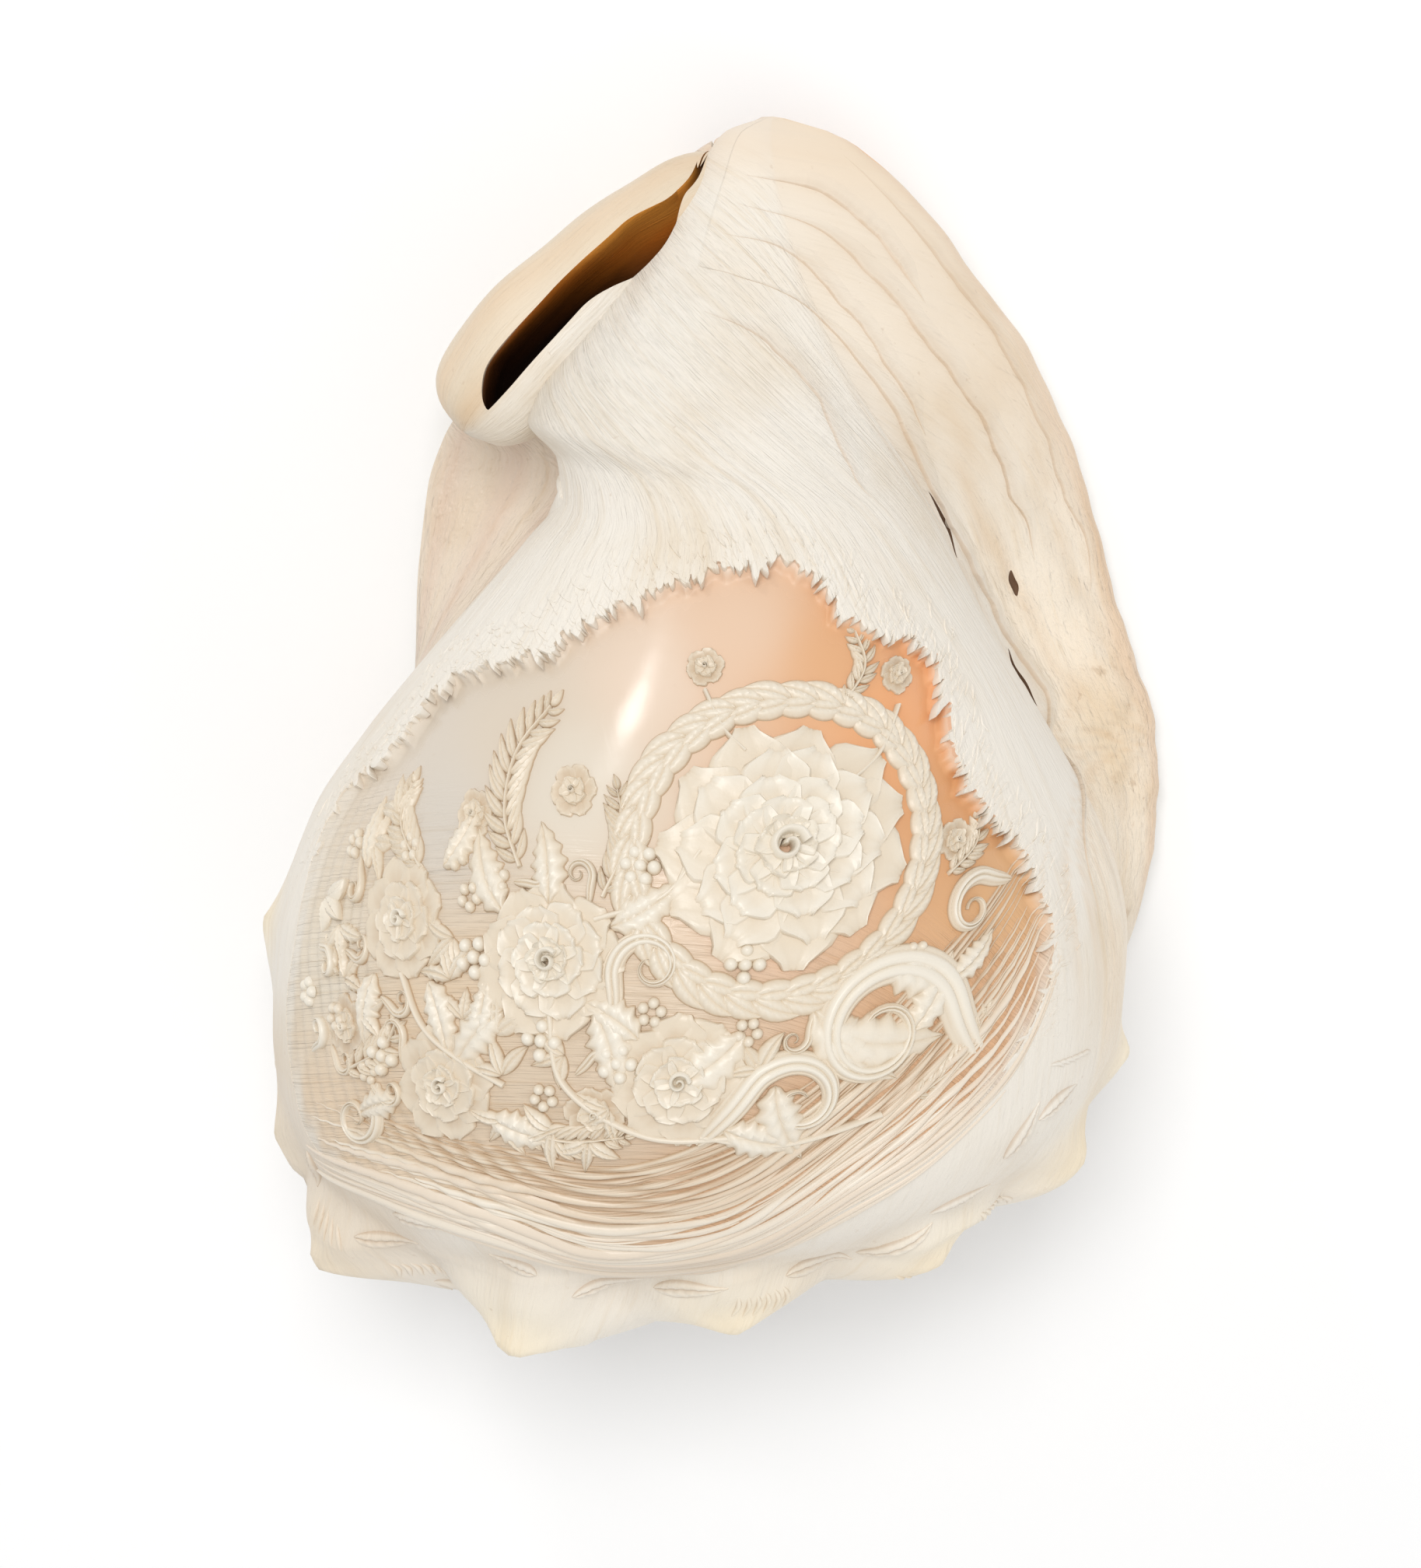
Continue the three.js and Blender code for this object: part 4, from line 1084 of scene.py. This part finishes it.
def dress_outer(place, station, where, outer):
    """The white skin, the tan lip, the shield and the underside: colour, lines and finish."""
    bent = smooth(158, 227, station)
    growth = bent + (1 - bent) * (1 - place / AT_SHIELD)
    off_edge = place - np.interp(station, ledge[:, 1], ledge[:, 0])
    on_lip = (1 - smooth(-1.0, 0.9, off_edge)) * smooth(44, 84, station)
    on_lip = on_lip * (1 - 0.8 * smooth(135, 180, station) * smooth(3, 10, place))
    near_rim = 1 - smooth(2.0, 9.0, place + 1.2 * np.sin(station * 0.09))
    banded = smooth(70, 100, station) * (1 - smooth(165, 195, station)) * (1 - smooth(3, 16, off_edge))
    banded = banded * outer * (place < 90)
    sway = off_edge * 1.25 + 0.7 * np.sin(station * 0.035) + 0.3 * np.sin(station * 0.11 + place)
    tan_band = smooth(0.1, 1.0, np.sin(sway) + 0.35 * np.sin(2.7 * sway + 1))
    grey_band = smooth(0.3, 1.0, np.sin(0.61 * sway + 2) + 0.3 * np.sin(3.3 * sway))
    rim = (1 - smooth(2.2, 4.4, place + 0.5 * np.sin(station * 0.13))) * smooth(60, 80, station) * outer
    tip_rim = smooth(150, 200, station) * (1 - smooth(8, 26, place)) * outer
    row = np.round(np.interp(station, row_mark, np.arange(n_rows))).astype(int)
    # Painted shade in the drawn-in valleys of the shoulder between the knobs.
    valley_shade = valley[row, np.clip(np.round(place).astype(int), 0, n_places - 1)] * outer
    from_tip = np.full(len(place), 1e9)
    for x, y, z, _, foot in KNOBS:
        from_tip = np.minimum(from_tip, np.linalg.norm(where - [x, y, z], axis=1) / (0.55 * foot))
    # Painted shade on the lower left of the body, which faces away from the light.
    shade_low_left = smooth(-30, -62, where[:, 0]) * smooth(62, 35, where[:, 1]) * outer
    on_shield = smooth(AT_SHIELD - 6, AT_SHIELD + 1, place) * smooth(70, 110, station)
    on_shield = on_shield * (1 - smooth(AT_SHIELD + 13, AT_SHIELD + 16, place))
    band = 0.5 + 0.5 * np.sin(place * 1.35 + 0.5 * np.sin(station * 0.06))
    under = smooth(AT_UNDER - 1, AT_UNDER + 5, place) * smooth(60, 84, station)
    slit_x = np.interp(where[:, 1], slit[:N_UNDERSIDE, 1], slit[:N_UNDERSIDE, 0])
    off_slit = np.abs(where[:, 0] - slit_x)
    # Painted shade: a darker beige in the fold of the neck, between the body and the shield.
    neck = np.exp(-(((place - (AT_SHIELD - 8)) / 9) ** 2) - ((station - 158) / 12) ** 2)
    tint = layered(WHITE, (
        (CREAM * [1.09, 1.05, 1.03], 0.7 * on_lip),
        (TAN * [1.02, 1.03, 1.08], on_lip * (0.05 + 0.27 * near_rim)),
        (TAN, 0.5 * smooth(212, 226, station)),
        (TAN * [0.95, 0.93, 0.90], 0.42 * banded * tan_band),
        (GREY * 1.05, 0.35 * banded * grey_band),
        (TAN * [1.02, 0.97, 0.95], 0.75 * rim),
        (TAN * [1.04, 1.05, 1.04], 0.5 * tip_rim),
        # painted shade in the valleys between the knobs
        (BEIGE * 1.15, 0.30 * valley_shade),
        (CREAM * [1.12, 1.10, 1.04], 0.9 * np.exp(-(from_tip**2))),
        # painted shade on the lower left
        (BEIGE * [1.15, 1.18, 1.22], 0.5 * shade_low_left),
        (PINK * 0.95, 0.8 * on_shield * band),
        (TAN * 0.92, 0.6 * on_shield * (1 - band)),
        (CREAM, 0.7 * under),
        (PEACH * 1.05, 0.75 * under * np.exp(-((off_slit / 26) ** 2))),
        (RUST * 0.8, 0.5 * under * np.exp(-((off_slit / 9) ** 2))),
        # painted shade in the neck's fold
        (BEIGE * [1, 0.92, 0.88], 0.55 * neck)))
    worn = np.exp(-(((place - 6) / 4) ** 2)) * smooth(55, 75, station) * (1 - smooth(120, 150, station))
    finish = np.stack([
        0.46 - 0.20 * under - 0.10 * on_shield,
        (0.8 + 0.3 * smooth(115, 150, station) + 1.5 * on_lip + on_shield) * (1 - 0.9 * under),
        1 + 0.9 * worn], 1)
    return tint, np.stack([growth * 150, station * 0.5, 0 * growth], 1), finish


def dress_canal(mark, _):
    """The canal: tan and blotched, but white where it joins the body whorl."""
    place, share = mark.T
    blotched = 0.68 + 0.25 * np.sin(place * 0.7 + 4 * share)
    # The factor 0.92 darkens the whole canal: painted shade on the shell's left side.
    tint = blend(CREAM, TAN * [1.04, 1.03, 1.0], blotched) * 0.92
    turn_of = place / N_ROUND
    on_body = smooth(0.255, 0.33, turn_of) * (1 - smooth(0.60, 0.70, turn_of)) * smooth(0.45, 0.6, share)
    lines = np.stack([place * 1.4, share * 40, 0 * place], 1)
    return blend(tint, WHITE, on_body), lines, [0.42, 0.7, 1.25]


def dress_slot(mark, side):
    """The canal's slot: amber and brown, the shell's own colours, going to near black forwards, deeper in
    and towards one wall, which is painted shade of the hollow inside. The aperture: cream, rust a
    little way in, and painted shade near black deep in.
    """
    share, depth = mark[:, 0], np.maximum(mark[:, 1], 0)
    # dark is painted shade: it grows forwards, with depth, and towards one wall.
    dark = 2.05 * (share - 0.70) / 0.30 - 0.60 * side + 0.065 * (depth - 9)
    above = layered(AMBER * [1.6, 1.5, 1.5], (
        (AMBER * [1.1, 0.72, 0.5], smooth(-0.35, 0.25, dark)),
        (AMBER * [0.22, 0.15, 0.14], smooth(0.1, 0.85, dark)),
        (DARK, smooth(0.7, 1.35, dark)),
        (CREAM, (1 - smooth(0.1, 1.3, depth)) * smooth(0.745, 0.775, share)),
        (AMBER * 0.5, 0.8 * (1 - smooth(0.70, 0.745, share)))))
    # The near black deep in the aperture is painted shade.
    below = layered(CREAM, ((RUST * 0.75, smooth(1.0, 6.0, depth)), (DARK * 3, smooth(6, 22, depth))))
    lines = np.stack([depth * 1.2, share * 60, 0 * depth], 1)
    return blend(below, above, smooth(0.60, 0.66, share)), lines, [0.3, 0.3, 0.3]


# The cut ground's colours at view points, and how far each reaches.
ANCHORS = [
    (1175, 905, PEACH * [1.16, 1.03, 0.94], 1.2), (1245, 1010, PEACH * [0.97, 0.90, 0.80], 1.2),
    (1080, 830, PEACH * [1.03, 1.05, 1.07], 1.1), (960, 800, PINK * [1.0, 0.93, 0.86], 1.0),
    (820, 860, PINK * [1.02, 1.06, 1.08], 0.9), (640, 930, GREY * [0.98, 0.92, 0.86], 1.2),
    (560, 1050, GREY * [0.94, 0.94, 0.96], 1.2), (720, 1000, GREY * [1.08, 1.07, 1.05], 1.1),
    (420, 1250, GREY * [1.1, 1.09, 1.06], 1.3), (560, 1300, BEIGE * [1.20, 1.18, 1.14], 1.5),
    (480, 1380, BEIGE * 1.22, 1.4), (700, 1400, BEIGE * 1.08, 1.3), (850, 1300, BEIGE * 1.12, 1.0),
    (1000, 1180, PINK * [0.97, 0.88, 0.80], 0.9), (1310, 1150, PEACH * [1.0, 1.1, 1.1], 1.2),
    (1290, 1290, RUST * 1.2, 1.2), (1230, 1390, RUST * 1.15, 1.1),
    (940, 1560, RUST * [1.05, 1.08, 1.1], 1.0), (700, 1560, BEIGE * [0.95, 0.85, 0.76], 1.0),
    (1100, 1480, RUST * [1.1, 1.15, 1.2], 1.0), (420, 1450, BEIGE * 1.22, 1.1)]


def dress_ground(wv, _):
    """The cut ground: colours blended between the anchors, white again at its border."""
    total, weight = 0, 0
    for x, y, colour, reach in ANCHORS:
        far = np.sum((wv - spot(x, y)) ** 2, 1) / reach**2
        near = 1 / (far + 60) ** 1.7
        total = total + near[:, None] * colour
        weight = weight + near
    edge, sharp = border_at(wv)
    across = wv[:, 0]
    tint = layered(total / weight[:, None], (
        (WHITE, 0.85 * smooth(0.93, 1.0, edge + 0.015 * np.sin(across * 0.9)) * (1 - sharp)),
        (WHITE, 0.4 * smooth(0.978, 0.996, edge) * sharp)))
    lower = 1 - smooth(-12, 10, wv[:, 1] - MIDST[1] - 4 + 0.12 * across)
    bowed = wv[:, 1] * 1.15 + np.where(across > 0, 0.010, 0.003) * across**2
    finish = np.stack([
        0.13 + 0.22 * lower + 0.3 * smooth(0.90, 0.97, edge), 1.5 * lower, 0.25 + 0.4 * lower], 1)
    return tint, np.stack([bowed, across * 0.10, 0 * across], 1), finish


def dress(me):
    """Gives each corner its colour, its place along the growth lines, and its finish: roughness,
    depth of the growth lines and mottling."""
    mark, kind = corner_values(me, "skin"), corner_values(me, "kind")
    kind, tone = kind[:, 0].round().astype(int), kind[:, 1]
    index = np.empty(len(me.loops), np.int32)
    me.loops.foreach_get("vertex_index", index)
    co = np.empty(len(me.vertices) * 3, np.float32)
    me.vertices.foreach_get("co", co)
    where = co.reshape(-1, 3)[index].astype(float) * 1000 - SHIFT
    tint, lines, finish = dress_outer(mark[:, 0], mark[:, 1], where, kind == OUTER)
    # Painted shade on the skin strokes, as strong as each corner's tone.
    tint = blend(tint, PAINTED_SHADE, np.where(kind == OUTER, tone, 0))
    for own, dressed in ((CANAL, dress_canal), (SLOT, dress_slot), (GROUND, dress_ground)):
        its = kind == own
        tint[its], lines[its], finish[its] = dressed(mark[its], tone[its])
    tint[kind == PIT] = [0.13, 0.065, 0.03]
    finish[kind == PIT] = [0.7, 0, 0]

    colour = me.attributes.new("tint", "FLOAT_COLOR", "CORNER")
    rgba = np.column_stack([np.clip(tint, 0, 1), np.ones(len(tint))])
    colour.data.foreach_set("color", rgba.astype(np.float32).ravel())
    for name, values in (("growth", lines), ("finish", finish)):
        layer = me.attributes.new(name, "FLOAT_VECTOR", "CORNER")
        layer.data.foreach_set("vector", values.astype(np.float32).ravel())


dress(shell.data)
dress(skin_ridges.data)
pieces = [shell] + relief_pieces
SHARP_FROM = math.radians(48)
for piece in pieces:
    piece.data.polygons.foreach_set("use_smooth", np.ones(len(piece.data.polygons), bool))
    piece.data.set_sharp_from_angle(angle=SHARP_FROM)

# Materials


class Maths:
    """A shader value; sums and products of it add the nodes for them."""

    def __init__(self, build, socket):
        self.build, self.socket = build, socket

    def __add__(self, other):
        return self.build.node("ShaderNodeMath", 0, {"operation": "ADD"}, {0: self, 1: other})

    __radd__ = __add__

    def __mul__(self, other):
        return self.build.node("ShaderNodeMath", 0, {"operation": "MULTIPLY"}, {0: self, 1: other})

    __rmul__ = __mul__

    def ramp(self, low, high):
        """0 at low, 1 at high, and a smooth step between."""
        return self.build.node("ShaderNodeMapRange", 0, {"interpolation_type": "SMOOTHSTEP"},
                               {0: self, 1: low, 2: high, 3: 0.0, 4: 1.0})


class Material:
    """A material with one shader. Its fixed numbers are set on the shader's own sockets."""

    def __init__(self, name, **fixed):
        self.mat = bpy.data.materials.new(name)
        self.mat.use_nodes = True
        self.tree = self.mat.node_tree
        self.shader = self.tree.nodes["Principled BSDF"]
        self.set(**fixed)

    def give(self, socket, given):
        """Links a value to a socket, or sets the socket to a plain number or colour."""
        if isinstance(given, Maths):
            self.tree.links.new(given.socket, socket)
        else:
            socket.default_value = given

    def set(self, **inputs):
        """Gives the shader's inputs their values, and returns the material."""
        for name, given in inputs.items():
            self.give(self.shader.inputs[name.replace("_", " ")], given)
        return self.mat

    def node(self, kind, which, settings=None, sockets=None):
        """Adds a node with its settings and its sockets' values, and returns one output."""
        made = self.tree.nodes.new(kind)
        for key, given in (settings or {}).items():
            setattr(made, key, given)
        for key, given in (sockets or {}).items():
            self.give(made.inputs[key], given)
        return Maths(self, made.outputs[which])

    def noise(self, vector, scale, detail, rough):
        """Noise from 0 to 1, at a scale, with its detail and roughness."""
        return self.node("ShaderNodeTexNoise", 0, None, {
            "Vector": vector, "Scale": scale, "Detail": detail, "Roughness": rough})

    def stretch(self, vector, by):
        """A vector or a colour times three numbers."""
        return self.node("ShaderNodeVectorMath", 0, {"operation": "MULTIPLY"}, {0: vector, 1: by})

    def mix(self, amount, a, b):
        """Colour a at 0, colour b at 1."""
        return self.node("ShaderNodeMix", 2, {"data_type": "RGBA"}, {0: amount, 6: a, 7: b})

    def attribute(self, name, which):
        """A value that the piece's corners carry."""
        return self.node("ShaderNodeAttribute", which, {"attribute_name": name})

    def split(self, vector):
        """The three numbers of a vector."""
        made = self.node("ShaderNodeSeparateXYZ", 0, None, {0: vector}).socket.node
        return [Maths(self, made.outputs[axis]) for axis in range(3)]

    def bump(self, height, far):
        """A normal from a height, which 1 raises by far metres."""
        return self.node("ShaderNodeBump", 0, None, {"Strength": 1.0, "Distance": far, "Height": height})


# The skin. Streaks are noise drawn out along the growth lines.
skin_mat = Material("shell", IOR=1.5, Subsurface_Weight=0.0)
tinted = skin_mat.attribute("tint", "Color")
flow_lines = skin_mat.attribute("growth", "Vector")
rough, grain, mottle = skin_mat.split(skin_mat.attribute("finish", "Vector"))
on_shell = skin_mat.node("ShaderNodeTexCoord", "Object")
broad, fine, hair, chips, flecks = (
    skin_mat.noise(skin_mat.stretch(flow_lines, (across, along, 1)), 1.0, detail, roughness)
    for across, along, detail, roughness in (
        (0.16, 0.02, 4.0, 0.6), (1.0, 0.11, 3.0, 0.65), (2.4, 0.4, 2.0, 0.6), (0.9, 0.45, 3.0, 0.6),
        (0.6, 0.36, 3.0, 0.6)))
cloud = skin_mat.noise(on_shell, 24.0, 4.0, 0.55)
specks = skin_mat.noise(on_shell, 420.0, 3.0, 0.6)
deeper = skin_mat.stretch(tinted, (0.82, 0.70, 0.53))
lighter = skin_mat.stretch(tinted, (1.05, 1.06, 1.08))
lined = grain.ramp(0.0, 1.4)
stained = tinted
for amount, colour in (
        (fine.ramp(0.50, 0.80) * lined * 0.42, deeper),
        (broad.ramp(0.52, 0.75) * lined * 0.45, deeper),
        (broad.ramp(0.46, 0.24) * lined * 0.6, lighter),
        (cloud.ramp(0.46, 0.75) * mottle * 0.38, deeper),
        (specks.ramp(0.68, 0.76) * mottle * 0.24, (0.45, 0.30, 0.18, 1)),
        (flecks.ramp(0.58, 0.70) * mottle.ramp(1.1, 1.8) * 0.45, (0.50, 0.34, 0.20, 1))):
    stained = skin_mat.mix(amount, stained, colour)
height = (fine * 0.50 + hair * 0.22 + broad * 0.9) * grain + specks * mottle * 0.03 + cloud * 0.3
height = height + chips.ramp(0.42, 0.60) * grain * 0.11
shell.data.materials.clear()
shell.data.materials.append(skin_mat.set(
    Base_Color=stained, Roughness=rough + fine * 0.08, Normal=skin_mat.bump(height, 0.00055)))

# The carving: white at the top and darker towards the ground, which is painted shade at the strokes' feet.
cut_mat = Material("carving", IOR=1.5, Roughness=0.36)
lift, tone, _ = cut_mat.split(cut_mat.node("ShaderNodeUVMap", 0, {"uv_map": "lift"}))
on_carving = cut_mat.node("ShaderNodeTexCoord", "Object")
base = (0.52, 0.37, 0.23, 1)
for amount, colour in (
        (lift.ramp(0.0, 0.20), (0.72, 0.62, 0.485, 1)), (lift.ramp(0.20, 0.70), (0.80, 0.74, 0.635, 1)),
        (cut_mat.noise(on_carving, 30.0, 3.0, 0.55).ramp(0.50, 0.72) * 0.35, (0.74, 0.635, 0.485, 1)),
        (tone * 0.7, (0.70, 0.52, 0.37, 1))):
    base = cut_mat.mix(amount, base, colour)
cut_mat.set(Base_Color=base, Normal=cut_mat.bump(cut_mat.noise(on_carving, 700.0, 2.0, 0.6), 0.00006))
for piece in relief_pieces:
    piece.data.materials.append((skin_mat if piece is skin_ridges else cut_mat).mat)

for piece in pieces:
    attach(piece, "root")
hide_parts("shell")

# Floor, light and camera


def stand(name, data, matrix):
    """An object that only serves the picture."""
    ob = bpy.data.objects.new(name, data)
    bpy.context.scene.collection.objects.link(ob)
    ob.matrix_world = matrix
    return ob


floor_mesh = bpy.data.meshes.new("floor")
floor_mesh.from_pydata([(-4, -4, 0), (4, -4, 0), (4, 4, 0), (-4, 4, 0)], [], [(0, 1, 2, 3)])
floor_ob = stand("floor", floor_mesh, Matrix.Identity(4))
floor_mat = Material("floor", Roughness=0.9, Specular_IOR_Level=0.1, Base_Color=(0.935, 0.935, 0.935, 1))
floor_ob.data.materials.append(floor_mat.mat)


def placed(at, right, up, back):
    """A matrix from a place and the three directions of what stands there."""
    m = Matrix.Identity(4)
    for r in range(3):
        m[r][0], m[r][1], m[r][2], m[r][3] = right[r], up[r], back[r], at[r]
    return m


def area_light(name, way, far, size, watts):
    """A square white light this far from the middle, in metres, turned towards it."""
    way = np.array(way, float) / np.linalg.norm(way)
    right = np.cross([0, 1, 0.3], way)
    right /= np.linalg.norm(right)
    data = bpy.data.lights.new(name, "AREA")
    data.shape, data.size, data.energy = "SQUARE", size, watts
    stand(name, data, placed(way * far, right, np.cross(way, right), way))


area_light("key", (-0.12, 0.30, 0.94), 1.3, 0.5, 7.2)
area_light("fill", (0.64, -0.58, 0.5), 1.6, 1.2, 4.2)
# The window stands where the polished ground mirrors it to the camera.
shiny = spot(805, 935)
n = sample(flat_n, shiny)
to_camera = cam_at - sample(flat, shiny)
area_light("window", 2 * n * (n @ to_camera) / (n @ n) - to_camera, 1.4, 0.15, 1.2)
world = bpy.data.worlds.new("studio")
world.use_nodes = True
sky = world.node_tree.nodes["Background"]
sky.inputs[0].default_value = (1, 1, 1, 1)
sky.inputs[1].default_value = 0.64
bpy.context.scene.world = world
bpy.context.scene.view_settings.view_transform = "Standard"

cam = bpy.data.cameras.new("camera")
cam.sensor_fit, cam.sensor_height, cam.lens, cam.clip_end = "VERTICAL", 36.0, LENS, 20.0
bpy.context.scene.camera = stand("camera", cam, placed((cam_at + SHIFT) / 1000, cam_right, cam_up, back))

print("triangles", {ob.name: sum(len(p.vertices) - 2 for p in ob.data.polygons) for ob in pieces})
